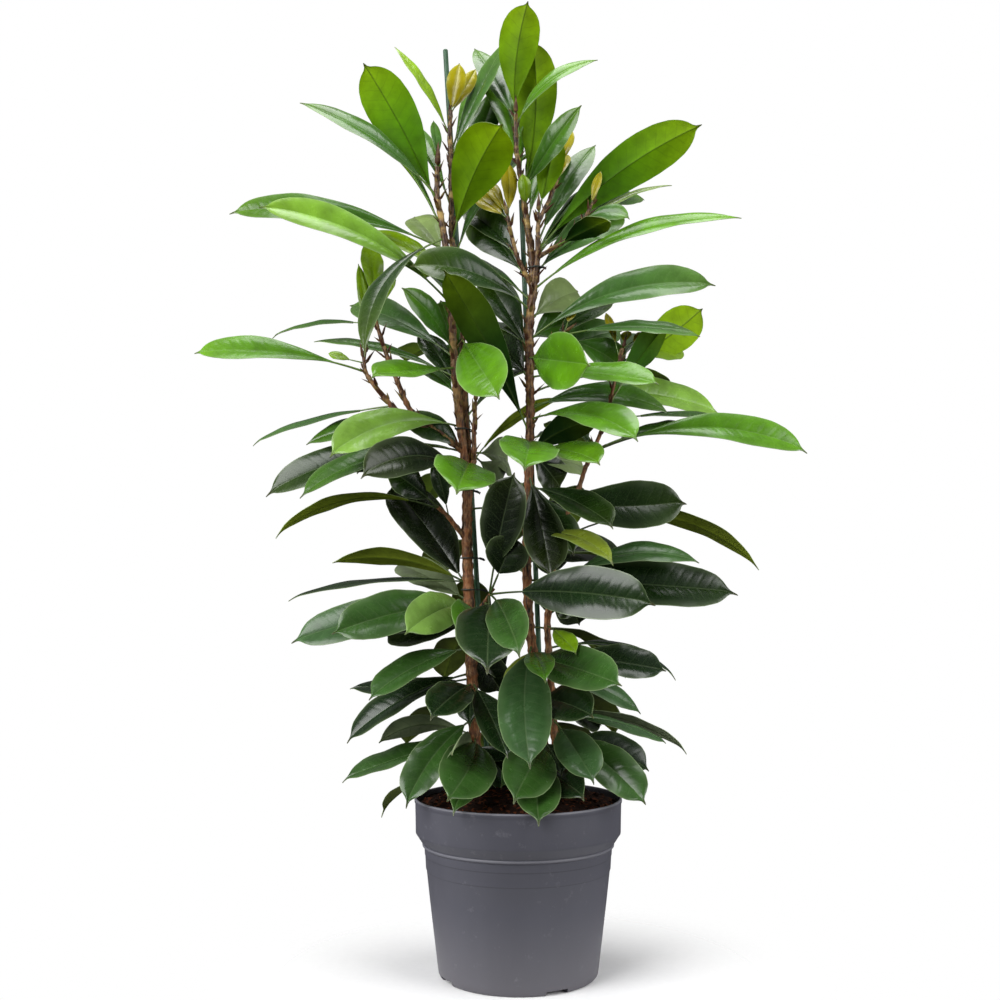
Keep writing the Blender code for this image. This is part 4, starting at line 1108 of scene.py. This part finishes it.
def flat_leaf(outline):
    """A slab from y = 0 at the stalk to y = 1 at the tip, and from x = -1 to 1 where it is widest."""
    steps = len(COLUMNS) - 1
    bpy.ops.object.select_all(action="DESELECT")
    bpy.ops.mesh.primitive_grid_add(x_subdivisions=2 * steps, y_subdivisions=ROW_COUNT, size=2)
    leaf = bpy.context.object
    with editing():
        bpy.ops.transform.resize(value=(1, 0.5, 1), center_override=(0, -1, 0))
        bpy.ops.transform.translate(value=(0, 1, 1))
        for index in range(1, steps):
            now = index / steps
            pick(lambda place: abs(abs(place.x) - now) < 1e-4)
            resize_width(COLUMNS[index] / now)
        for index in range(ROW_COUNT - 1, 0, -1):
            now = index / ROW_COUNT
            pick(lambda place: abs(place.y - now) < 1e-4)
            bpy.ops.transform.translate(value=(0, 1 - (1 - now) ** TIP_CROWDING - now, 0))
    margin = leaf.data.attributes.new("margin", "FLOAT", "POINT")
    margin.data.foreach_set("value", [abs(point.co.x) for point in leaf.data.vertices])
    heights = sorted({round(point.co.y, 5) for point in leaf.data.vertices})
    with editing():
        for row in heights:
            pick(lambda place: abs(place.y - row) < 2e-5)
            resize_width(float(np.interp(row, *zip(*outline))))
        bpy.ops.mesh.select_all(action="SELECT")
        bpy.ops.mesh.extrude_region_move(TRANSFORM_OT_translate={"value": (0, 0, -2)})
        face_outward()
    return leaf


patterns = {kind: flat_leaf(outline) for kind, outline in OUTLINES.items()}
STALK_RINGS = ((1, 0), (1, 90), (1, 200), (1, 400), (1, 600), (1, 800), (1, 1000))
stalk_pattern = ring_body(STALK_RINGS, 8)
print("leaf pattern:", len(patterns["high"].data.polygons), "faces")

# %% [markdown]
# ## Bend each copy into its place
# By hand, a copy of the leaf would get a Curve modifier and a curve to follow. With some 200 leaves that is
# slow, and it gives no hold on which way the leaf's top looks, so the points are placed by code instead:
# along the same arc as the solid's strip, with the same fold. On top of that come what makes a leaf look
# alive: the fold is rounded at the midrib, the margins wave a little, the whole leaf twists by a few degrees,
# and the midrib is a groove above and a ridge below.

# %% Place the points of a leaf
RIB_DEPTH, RIB_WIDTH = 1.2, 0.9  # mm, of the ridge under the midrib
RIB_TAPER, RIB_LEAST = 0.8, 0.2  # share that it loses toward the tip, and mm that stay
GROOVE = 0.3  # mm deep, over the midrib
SLAB = 0.36  # half the blade's thickness
THIN_EDGE = 0.4  # share of the thickness that is lost at the margin
ROUND_FOLD = 2.5  # mm on each side of the midrib, over which the fold is rounded
SMALL_FOLD = 0.10  # of small leaves, where the others have FOLD
BULGE, WAVE = 0.04, 0.028  # of the width: swell of each half, and height of the margin's waves
WAVE_COUNTS = (1.6, 3.2)
TWIST = 0.07  # at most, at the tip: rise for each mm out
TIP_HANG, TIP_FROM = (1, 7), 0.9  # mm, and the share of the length where the tip starts
STEEP = 0.6  # the tips of leaves that rise more than this for each mm don't hang
STALK_RADIUS = (2.1, 1.5, 1.35, 1.25, 1.2, 1.1, 0.7)
FULL_STALK, SLIM_STALK = 36, 0.62  # mm of leaf width with a full stalk, and the slimmest stalk's share of it
STALK_OVERLAP, STALK_SINK = 0.05, 0.5  # share of the length, and mm, by which a stalk runs on under the blade


def arc_places(blade, share):
    """For shares of a leaf's length: places on its middle line, and the ways up and across there."""
    root, tip, top = (np.array(way) for way in (blade.root, blade.tip, blade.top))
    control = (root + tip) / 2 + 2 * np.array(blade.arch)
    chord = (tip - root) / np.linalg.norm(tip - root)
    side = np.cross(chord, top)
    t = share[:, None]
    middle = root * (1 - t) ** 2 + control * (2 * t * (1 - t)) + tip * t ** 2
    along = (control - root) * (1 - t) + (tip - control) * t
    along /= np.linalg.norm(along, axis=1)[:, None]
    up = np.cross(side[None, :], along)
    up /= np.linalg.norm(up, axis=1)[:, None]
    return middle, up, np.cross(along, up)


def points_of(mesh):
    flat = np.empty(len(mesh.vertices) * 3)
    mesh.vertices.foreach_get("co", flat)
    return flat.reshape(-1, 3)


def values_of(mesh, name):
    flat = np.empty(len(mesh.vertices))
    mesh.attributes[name].data.foreach_get("value", flat)
    return flat


def leaf_points(kind, blade, chance):
    """A copy's points in mm, how far each lies across and along the leaf, and which are on its top."""
    flat = points_of(patterns[kind].data)
    out, along, upper = flat[:, 0] * blade.width / 2, flat[:, 1], flat[:, 2] > 0
    edge = np.abs(flat[:, 0])
    length = (blade.tip - blade.root).length * (1 - blade.stalk)
    middle, up, across = arc_places(blade, between((blade.stalk, 1), along))
    rise = (SMALL_FOLD if kind == "small" else FOLD) * (np.hypot(out, ROUND_FOLD) - ROUND_FOLD)
    swell = np.sin(math.pi * np.clip(along, 0, 1)) ** 0.5
    rise += BULGE * blade.width * np.sin(math.pi * values_of(patterns[kind].data, "margin")) * swell
    waves = chance.uniform(*WAVE_COUNTS)
    for sign in (-1, 1):
        phase = chance.uniform(0, math.tau)
        swing = np.sin(math.tau * waves * along + phase) * swell
        rise += np.where(out * sign > 0, blade.width * WAVE * edge ** 2 * swing, 0)
    rise += out * along * chance.uniform(-TWIST, TWIST)
    near_rib = np.exp(-(out / RIB_WIDTH) ** 2)
    half = SLAB * (1 - THIN_EDGE * edge)
    ridge = (RIB_DEPTH * (1 - RIB_TAPER * along) + RIB_LEAST) * near_rib
    level = np.where(upper, half - GROOVE * near_rib, -half - ridge)
    places = middle + across * out[:, None] + up * (rise + level)[:, None]
    hang = clamp(STEEP - (blade.tip - blade.root).normalized().z) * chance.uniform(*TIP_HANG)
    places[:, 2] -= hang * np.clip((along - TIP_FROM) / (1 - TIP_FROM), 0, 1) ** 2
    return places, np.stack((out, along * length), axis=1), along, upper


def stalk_points(blade):
    flat = points_of(stalk_pattern.data)
    shares = [high * MM for _, high in STALK_RINGS]
    fullness = min(max(blade.width / FULL_STALK, SLIM_STALK), 1)
    radius = np.interp(flat[:, 2], shares, STALK_RADIUS) * fullness / MM
    middle, up, across = arc_places(blade, flat[:, 2] * (blade.stalk + STALK_OVERLAP))
    out, high = flat[:, 0] * radius, flat[:, 1] * radius - STALK_SINK * flat[:, 2] ** 2
    return middle + across * out[:, None] + up * high[:, None]


# %% [markdown]
# ## A leaf's colours
# Leaves are lime when young, then fresh green, and dark blue green with age, low on the plant. Undersides
# are paler and more yellow. The colour goes into the mesh as one value for each point, named tint, so that
# one material serves all leaves. A colour is mixed between what it is low on the plant and at its top.
# Some looks hold light and shade as well as colour: sunlit and fresh are lighter copies for leaves in light
# or with a broad sheen, meadow is a shaded copy of sunlit, and deep is a near black, painted shade for
# leaves inside the plant. Each leaf also gets painted shade toward its foot and painted light toward its tip.

# %% Colours by look, low and high on the plant
# sunlit and fresh hold painted light and sheen, meadow and deep hold painted shade
LOOKS = {
    "bright": ("#3f6e10", "#4f8206"),
    "fresh": ("#6a8c3e", "#648f22"),
    "sunlit": ("#557a03", "#5c8203"),
    "meadow": ("#40680a", "#437003"),
    "green": ("#2b4a1b", "#315c08"),
    "lime": ("#6b8f0c", "#739606"),
    "young": ("#867e08", "#958a05"),
    "dark": ("#10240c", "#183406"),
    "deep": ("#081305", "#0d1d05"),
    "grey": ("#34522c", "#3c6424"),
    "olive": ("#6c7a26", "#71851a"),
    "pale": ("#6f7c5c", "#7f9458"),
}
LOW_TONES, HIGH_TONES = 380, 900  # up to and from these heights a look has its first or second colour
BRIGHT_STALKS_FROM = 600  # height from which stalks are bright
STALK_TONES = (0.25, 0.9)  # share of STALK below and above it
TONE_SPREAD = (0.88, 1.12)  # from leaf to leaf
SHADED_TOP = 0.6  # of the seen colour, on the top of a leaf that shows its underside
OWN_UNDER, COMMON_UNDER = 0.55, 0.35  # of the seen colour, and of UNDER, on the underside of the others
YELLOWING = (0.12, 0.42)  # share of yellow at the tip, at the plant's top: on tops, and on undersides
YELLOW_FROM, YELLOW_POWER = 0.4, 1.5
SHADED_FOOT_AND_LIT_TIP, FOOT_SHADE_SPEED = (0.72, 1.22), 1.4  # painted shade at the foot and painted light at the tip: brightness of both, and how fast it rises from the foot
DRY_FROM, DRY_OVER, DRY_SHARE = 0.955, 0.03, 0.7  # of the length, and how brown the tip gets


def tone(code):
    return np.array(linear(code)[:3])


UNDER, YELLOW_TIP, STALK, DRY = map(tone, ("#7f9030", "#93ab08", "#4f6a1c", "#3b2a12"))


def leaf_tints(look, under_seen, height, along, upper, chance):
    """The colour of each point of a leaf."""
    high = clamp((height - LOW_TONES) / (HIGH_TONES - LOW_TONES))
    seen_tint = between([tone(code) for code in LOOKS[look]], high) * chance.uniform(*TONE_SPREAD)
    other = seen_tint * SHADED_TOP if under_seen else seen_tint * OWN_UNDER + UNDER * COMMON_UNDER
    top, under = (other, seen_tint) if under_seen else (seen_tint, other)
    tints = np.where(upper[:, None], top, under)
    yellow = np.clip((along - YELLOW_FROM) / (1 - YELLOW_FROM), 0, 1) ** YELLOW_POWER
    tints = between((tints, YELLOW_TIP), (YELLOWING[under_seen] * high * yellow)[:, None])
    # painted shade toward the leaf's foot, and painted light toward its tip
    tints = tints * between(SHADED_FOOT_AND_LIT_TIP, np.clip(along * FOOT_SHADE_SPEED, 0, 1))[:, None]
    dry = DRY_SHARE * np.clip((along - DRY_FROM) / DRY_OVER, 0, 1)
    return between((tints, DRY), dry[:, None])


# %% Copy, bend and colour every leaf
def fill(mesh, places, spread, tints, under, margin=None):
    """Gives a copy its own places, its leaf map and its colours."""
    mesh.vertices.foreach_set("co", (places * MM).ravel())
    for layer in list(mesh.uv_layers):
        mesh.uv_layers.remove(layer)
    corners = np.empty(len(mesh.loops), dtype=int)
    mesh.loops.foreach_get("vertex_index", corners)
    mesh.uv_layers.new(name="leaf").data.foreach_set("uv", spread[corners].ravel())
    paint = mesh.attributes.new("tint", "FLOAT_COLOR", "POINT")
    paint.data.foreach_set("color", np.column_stack((tints, np.ones(len(tints)))).ravel())
    for name, values in (("under", under), ("margin", margin)):
        if values is not None:
            mesh.attributes.new(name, "FLOAT", "POINT").data.foreach_set("value", values)
    mesh.update()


foliage = {}
for plant in PLANTS:
    made = []
    for number, (blade, look, under_seen) in enumerate(leaves[plant]):
        chance = random.Random(f"{plant} {number}")
        leaf = copy_of(patterns[kind_of(blade)])
        places, spread, along, upper = leaf_points(kind_of(blade), blade, chance)
        height = (blade.root.z + blade.tip.z) / 2
        tints = leaf_tints(look, under_seen, height, along, upper, chance)
        fill(leaf.data, places, spread, tints, 1.0 - upper)
        stalk = copy_of(stalk_pattern)
        places = stalk_points(blade)
        blank = np.zeros(len(places))
        tints = STALK * STALK_TONES[height > BRIGHT_STALKS_FROM] + np.zeros_like(places)
        fill(stalk.data, places, np.zeros((len(places), 2)), tints, blank + 0.5, blank)
        made += [leaf, stalk]
    foliage[plant] = join(made)
    smooth(foliage[plant], 45)
discard(stalk_pattern, *patterns.values())

# %% [markdown]
# ### Waxy top, satin underside
# A fig leaf has a smooth, waxy top, which is glossy with a broad highlight. The underside is satin, and has a
# material of its own. Side veins leave the midrib every 13 mm or so at a slant and fade near the margin, with
# the blade slightly quilted between them. On the top they are faint and pale. On the underside, where light
# comes through the blade, they and the midrib are darker than the rest. The margin is thinner. On the top, a
# painted sheen widens in from the margin and a thin painted highlight runs along it, and tiny pale dots lie
# in the skin. All of this is drawn from the leaf map, which holds how many millimetres a point lies across
# and along the leaf. The dots are about 0.3 mm, and are drawn at 1 mm.

# %% What both sides of a leaf share
VEIN_SPACING, VEIN_SLANT, VEIN_WOBBLE = 13, 0.62, 5


def leaf_side(name, values):
    """A leaf material up to where the sides differ, and the patterns that it has by then."""
    made, tree, shader = new_material(name, values)
    place = add_node(tree, "TexCoord", "Object")
    chart = add_node(tree, "UVMap", "UV", uv_map="leaf")
    out = add_node(tree, "SeparateXYZ", "X", {"Vector": chart})
    along = add_node(tree, "SeparateXYZ", "Y", {"Vector": chart})
    across = add_node(tree, "Math", "Value", {0: out}, operation="ABSOLUTE")
    slanted = add_node(tree, "Math", "Value", {0: across, 1: -VEIN_SLANT, 2: along}, operation="MULTIPLY_ADD")
    stray = add_node(tree, "TexNoise", "Fac", {"Vector": place, "Scale": 90})
    wobbly = add_node(tree, "Math", "Value", {0: stray, 1: VEIN_WOBBLE, 2: slanted}, operation="MULTIPLY_ADD")
    counted = add_node(tree, "Math", "Value", {0: wobbly, 1: VEIN_SPACING}, operation="DIVIDE")
    off_vein = add_node(tree, "Math", "Value", {0: counted, 1: 0.5}, operation="PINGPONG")
    margin = add_node(tree, "Attribute", "Fac", attribute_name="margin")
    inner = add_node(tree, "MapRange", "Result", {
        "Value": margin, "From Min": 0.55, "From Max": 0.95, "To Min": 1, "To Max": 0,
    })
    near_vein = add_node(tree, "MapRange", "Result", {
        "Value": off_vein, "From Max": 0.085, "To Min": 1, "To Max": 0,
    }, interpolation_type="SMOOTHSTEP")
    rib = add_node(tree, "MapRange", "Result", {
        "Value": across, "From Min": 0.35, "From Max": 1.3, "To Min": 1, "To Max": 0,
    }, interpolation_type="SMOOTHSTEP")
    mottle = add_node(tree, "TexNoise", "Fac", {"Vector": place, "Scale": 38, "Detail": 5, "Roughness": 0.6})
    light = add_node(tree, "MapRange", "Result", {
        "Value": mottle, "From Min": 0.3, "From Max": 0.7, "To Min": 0.72, "To Max": 1.25,
    })
    painted = add_node(tree, "Attribute", "Color", attribute_name="tint")
    return made, tree, shader, {
        "place": place, "margin": margin, "off vein": off_vein, "inner": inner, "rib": rib, "mottle": mottle,
        "vein": add_node(tree, "Math", "Value", {0: near_vein, 1: inner}, operation="MULTIPLY"),
        "tint": add_node(tree, "VectorMath", "Vector", {0: painted, "Scale": light}, operation="SCALE"),
    }


# %% Top material
leaf_top, tree, shader, part = leaf_side("waxy fig leaf", {"IOR": 1.45, "Specular IOR Level": 0.5})
specks = add_node(tree, "TexNoise", "Fac", {"Vector": part["place"], "Scale": 1000, "Detail": 1})
pale_marks_and_edge_highlights = (
    add_node(tree, "Math", "Value", {0: part["vein"], 1: 0.035}, operation="MULTIPLY"),
    add_node(tree, "Math", "Value", {0: part["rib"], 1: 0.09}, operation="MULTIPLY"),
    # toward the margin: a painted sheen that widens inward, and a thin painted highlight along it
    add_node(tree, "MapRange", "Result", {
        "Value": part["margin"], "From Min": 0.60, "To Max": 0.07,
    }, interpolation_type="SMOOTHSTEP"),
    add_node(tree, "MapRange", "Result", {"Value": part["margin"], "From Min": 0.94, "To Max": 0.42}),
    add_node(tree, "MapRange", "Result", {
        "Value": specks, "From Min": 0.56, "From Max": 0.68, "To Max": 0.045,
    }),
)
paler = pale_marks_and_edge_highlights[0]
for other in pale_marks_and_edge_highlights[1:]:
    paler = add_node(tree, "Math", "Value", {0: paler, 1: other}, operation="MAXIMUM")
swollen = add_node(tree, "MapRange", "Result", {
    "Value": part["off vein"], "From Max": 0.30,
}, interpolation_type="SMOOTHSTEP")
quilt = add_node(tree, "Math", "Value", {0: swollen, 1: part["inner"]}, operation="MULTIPLY")
feed(tree, shader, {
    "Base Color": add_node(tree, "Mix", COLOUR_OUT, {
        "Factor": paler, COLOUR_A: part["tint"], COLOUR_B: linear("#a9c08a"),
    }, data_type="RGBA"),
    "Roughness": add_node(tree, "MapRange", "Result", {
        "Value": part["mottle"], "To Min": 0.20, "To Max": 0.32,
    }),
    "Normal": add_node(tree, "Bump", "Normal", {"Height": quilt, "Strength": 0.16, "Distance": 0.0008}),
})

# %% Underside material
leaf_under, tree, shader, part = leaf_side(
    "satin fig leaf underside", {"IOR": 1.4, "Specular IOR Level": 0.12})
on_vein = add_node(tree, "Math", "Value", {0: part["vein"], 1: 0.20}, operation="MULTIPLY")
on_rib = add_node(tree, "Math", "Value", {0: part["rib"], 1: 0.60}, operation="MULTIPLY")
feed(tree, shader, {
    "Base Color": add_node(tree, "Mix", COLOUR_OUT, {
        "Factor": add_node(tree, "Math", "Value", {0: on_vein, 1: on_rib}, operation="MAXIMUM"),
        COLOUR_A: part["tint"], COLOUR_B: linear("#2f4208"),
    }, data_type="RGBA"),
    "Roughness": add_node(tree, "MapRange", "Result", {
        "Value": part["mottle"], "To Min": 0.50, "To Max": 0.68,
    }),
})

# %% Give each side its material
for plant, side in PLANTS.items():
    name, mesh = "leaves_" + side, foliage[plant].data
    dress(foliage[plant], name, leaf_top, "plant", plant)
    mesh.materials.append(leaf_under)
    under = values_of(mesh, "under")
    for face in mesh.polygons:
        face.material_index = int(min(under[corner] for corner in face.vertices) > 0.9)
    print(name, "shows its underside on", sum(face.material_index for face in mesh.polygons), "faces")

# %% [markdown]
# ## Scales and buds
# The plant's botanical name comes from its scales: each leaf grows out of a papery sheath, which dries brown
# and stays on the young stem for months. Each shoot ends in a pointed bud. A scale is a small curved cone,
# modelled once and copied a few hundred times, so it has few faces.

# %% Scales along the young stems, and buds at their tips
SCALE_FROM = 585  # mm, height above which the scales still hold
SCALE_SIZES = (0.7, 1.9)
SCALE_LEANS = (0.05, 0.7)  # mm outward for each mm along the stem
SCALE_DEPTH = 0.75  # of the stem's radius, at which a scale's foot stands
SCALE_STRAY = 0.4  # radians to each side of a golden turn
SCALE_CURVE = 14  # how fast a scale bends away, for each metre squared
BUD_FOOT = 2.2  # mm, radius of the bud's pattern where it meets the stem
scale_pattern = ring_body(((0.8, 0), (1.5, 2.6), (1.2, 6), (0.3, 11)), 6)
for point in scale_pattern.data.vertices:
    point.co.y = point.co.y * 0.5 + SCALE_CURVE * point.co.z ** 2
bud_pattern = ring_body(((2.0, 0), (2.6, 4), (2.0, 11), (0.4, 22)), 8)


def standing(pattern, spot, along, outward, size):
    """A copy of a pattern that stands on a stem, along it, with its back to the stem."""
    along = along.normalized()
    back = (outward - along * outward.dot(along)).normalized()
    side = back.cross(along).normalized()
    turn = Matrix((side, back, along)).transposed().to_4x4()
    made = copy_of(pattern)
    made.data.transform(Matrix.Translation(spot * MM) @ turn @ Matrix.Diagonal((size, size, size, 1)))
    return made


scales = {}
for plant in PLANTS:
    made = []
    chance = random.Random(plant)
    for points, radii in paths[plant]:
        turn = chance.uniform(0, math.tau)
        fine, sizes = finely((points, radii))
        for index in range(1, len(fine) - 1, 2):
            spot, radius = fine[index], sizes[index]
            if spot.z < SCALE_FROM:
                continue
            along = (fine[index + 1] - spot).normalized()
            turn += math.tau * GOLDEN + chance.uniform(-SCALE_STRAY, SCALE_STRAY)
            outward = Vector((math.cos(turn), math.sin(turn), 0))
            lean = along + outward * chance.uniform(*SCALE_LEANS)
            foot = spot + outward * radius * SCALE_DEPTH
            made.append(standing(scale_pattern, foot, lean, outward, chance.uniform(*SCALE_SIZES)))
        if points[-1].z > SCALE_FROM:
            way = fine[-1] - fine[-3]
            made.append(standing(bud_pattern, fine[-1], way, Vector((0, -1, 0.1)), radii[-1] / BUD_FOOT))
    scales[plant] = join(made)
    smooth(scales[plant], 50)
discard(scale_pattern, bud_pattern)

# %% [markdown]
# ### Dry sheath
# Papery, red brown and nearly without gloss, straw coloured where it is fresh.

# %% Scale material
sheath, tree, shader = new_material("dry papery sheath", {"Roughness": 0.62, "Specular IOR Level": 0.35})
place = add_node(tree, "TexCoord", "Object")
drawn_out = add_node(tree, "Mapping", "Vector", {"Vector": place, "Scale": (1, 1, 0.15)})
fibres = add_node(tree, "TexNoise", "Fac", {"Vector": drawn_out, "Scale": 900, "Detail": 3})
patches = add_node(tree, "TexNoise", "Fac", {"Vector": place, "Scale": 90, "Detail": 4})
fresh = add_node(tree, "MapRange", "Result", {"Value": patches, "From Min": 0.48, "From Max": 0.66})
dry = add_node(tree, "Mix", COLOUR_OUT, {
    "Factor": fibres, COLOUR_A: linear("#1d0d08"), COLOUR_B: linear("#5a311b"),
}, data_type="RGBA")
feed(tree, shader, {
    "Base Color": add_node(tree, "Mix", COLOUR_OUT, {
        "Factor": fresh, COLOUR_A: dry, COLOUR_B: linear("#7a6a34"),
    }, data_type="RGBA"),
    "Normal": add_node(tree, "Bump", "Normal", {"Height": fibres, "Strength": 0.4, "Distance": 0.0003}),
})
for plant, side in PLANTS.items():
    dress(scales[plant], "scales_" + side, sheath, "plant", plant)

# %% [markdown]
# ## Stakes and ties
# The stems are tied to two thin stakes of steel tube with a green plastic coat, by loops of coated wire
# whose ends are twisted together. The stake is built from rings, rounded at its tip, and turned to its lean.
# The wire is a bevelled curve.

# %% Stakes
STAKE_RADIUS = 3.0
STAKE_FOOT = 45
STAKE_RINGS = 24
STAKES = {  # top and foot, as x, z and toward
    "stake_left": ((-87, 1090, -18), (-34, 215, -16)),
    "stake_right": ((4.5, 905, -20), (30, 215, -18)),
}
stake_lines = {}
stake_rods = {}
for name, ends in STAKES.items():
    top, foot = (seen(*end) for end in ends)
    low = top + (foot - top) * ((top.z - STAKE_FOOT) / (top.z - foot.z))
    length = (top - low).length
    stake_lines[name] = [low, top]
    body = [(STAKE_RADIUS, length * step / STAKE_RINGS) for step in range(1, STAKE_RINGS)]
    tip = [(STAKE_RADIUS, length - 1.8), (2.8, length - 0.9), (2.2, length - 0.3), (1.2, length)]
    rod = ring_body([(1.2, -0.001), (2.9, 0)] + body + tip, 20)
    rod.data.transform(Matrix.LocRotScale(low * MM, (top - low).to_track_quat("Z", "Y"), None))
    smooth(rod, 40)
    stake_rods[name] = rod

# %% Wire ties
TIE_WIRE, TIE_SLACK = 1.0, 0.6  # mm: radius of the wire in the solids, and how far it stays off the stems
LOOP_RADIUS, END_RADIUS = 0.9, 0.8
LOOP_POINTS = 64
TWIST_LENGTH, TWIST_TURNS, TWIST_RADIUS, TWIST_POINTS, TWIST_DROP = 7, 1.75, 0.9, 19, 2
TWIST_ASIDE, TWIST_BACK = 0.35, 2  # how far the ends point to the loop's side, and away from the eye
TIES = {  # side: height of each tie, and the branches that it holds
    "left": ((439, (0,)), (476, (0,)), (556, (0,)), (628, (1, 2))),
    "right": ((822, (1, 2)),),
}


def loop_round(discs, height):
    """A smooth closed loop that passes just outside several bars."""
    places = []
    for step in range(LOOP_POINTS):
        turn = math.tau * step / LOOP_POINTS
        out = Vector((math.cos(turn), math.sin(turn), 0))
        centre, radius = max(discs, key=lambda disc: disc[0].dot(out) + disc[1])
        place = centre + out * (radius + TIE_SLACK + TIE_WIRE)
        places.append(Vector((place.x, place.y, height)))
    return places


def twisted_end(start, outward, turn):
    """One end of a wire, wound round the line that leaves the loop."""
    side = outward.cross(Vector((0, 0, 1)))
    points = []
    for step in range(TWIST_POINTS):
        run = step / (TWIST_POINTS - 1)
        angle = turn + run * math.tau * TWIST_TURNS
        off = (side * math.cos(angle) + Vector((0, 0, math.sin(angle)))) * TWIST_RADIUS
        points.append(start + outward * (TWIST_LENGTH * run) - Vector((0, 0, TWIST_DROP * run * run)) + off)
    return points


ties = {}
for side, rows in TIES.items():
    for number, (height, branches) in enumerate(rows, 1):
        discs = [crossing(paths["stem_" + side][branch], height) for branch in branches]
        discs.append(crossing((stake_lines["stake_" + side], [STAKE_RADIUS] * 2), height))
        loop = loop_round(discs, height)
        centre = sum(loop, Vector()) / len(loop)
        start = max(loop, key=lambda place: place.x)
        aside = TWIST_ASIDE * (start.y - centre.y) + TWIST_BACK
        outward = Vector((start.x - centre.x, aside, 0)).normalized()
        wires = [bevelled_curve(loop, [LOOP_RADIUS] * len(loop), WIRE_SIDES, closed=True)]
        for half in (0, math.pi):
            points = twisted_end(start, outward, half + number)
            wires.append(bevelled_curve(points, [END_RADIUS] * len(points), WIRE_SIDES))
        tie = join(wires)
        smooth(tie, 60)
        ties[f"tie_{side}_{number}"] = tie

# %% [markdown]
# ### Coated steel and wire
# The stake's coat is dark green polyethylene with a satin skin and faint rings from winding. The wire's
# coat is black and a little rubbery.

# %% Stake and wire materials
coat, tree, shader = new_material("polyethylene coated stake", {"IOR": 1.51})
place = add_node(tree, "TexCoord", "Object")
wear = add_node(tree, "TexNoise", "Fac", {"Vector": place, "Scale": 140, "Detail": 5})
rings = add_node(tree, "TexWave", "Fac", {
    "Vector": place, "Scale": 60, "Distortion": 1.2,
}, bands_direction="Z")
feed(tree, shader, {
    "Base Color": add_node(tree, "Mix", COLOUR_OUT, {
        "Factor": wear, COLOUR_A: linear("#1d3a27"), COLOUR_B: linear("#3f6648"),
    }, data_type="RGBA"),
    "Roughness": add_node(tree, "MapRange", "Result", {"Value": wear, "To Min": 0.38, "To Max": 0.6}),
    "Normal": add_node(tree, "Bump", "Normal", {"Height": rings, "Strength": 0.25, "Distance": 0.0003}),
})
for name, rod in stake_rods.items():
    dress(rod, name + "_rod", coat, "stake", name)

wire_coat, tree, shader = new_material("rubbery coated wire", {"IOR": 1.5})
place = add_node(tree, "TexCoord", "Object")
wear = add_node(tree, "TexNoise", "Fac", {"Vector": place, "Scale": 300, "Detail": 4})
feed(tree, shader, {
    "Base Color": add_node(tree, "Mix", COLOUR_OUT, {
        "Factor": wear, COLOUR_A: linear("#0f1410"), COLOUR_B: linear("#2c332c"),
    }, data_type="RGBA"),
    "Roughness": add_node(tree, "MapRange", "Result", {"Value": wear, "To Min": 0.45, "To Max": 0.7}),
})
for name, tie in ties.items():
    dress(tie, name + "_wire", wire_coat, "tie", name)

# %% [markdown]
# ## The dressed plant's size
# Its box is printed, to go beside the box of the solids that was printed at the start. The dressed plant
# has to stay in the box of the solids, give or take a little.

# %% Print the dressed plant's box
new_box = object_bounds()
sizes = {"solids": [list(corner) for corner in cad_box], "dressed": [list(corner) for corner in new_box]}
print("box of the dressed plant:", [tuple(round(c, 4) for c in corner) for corner in new_box])
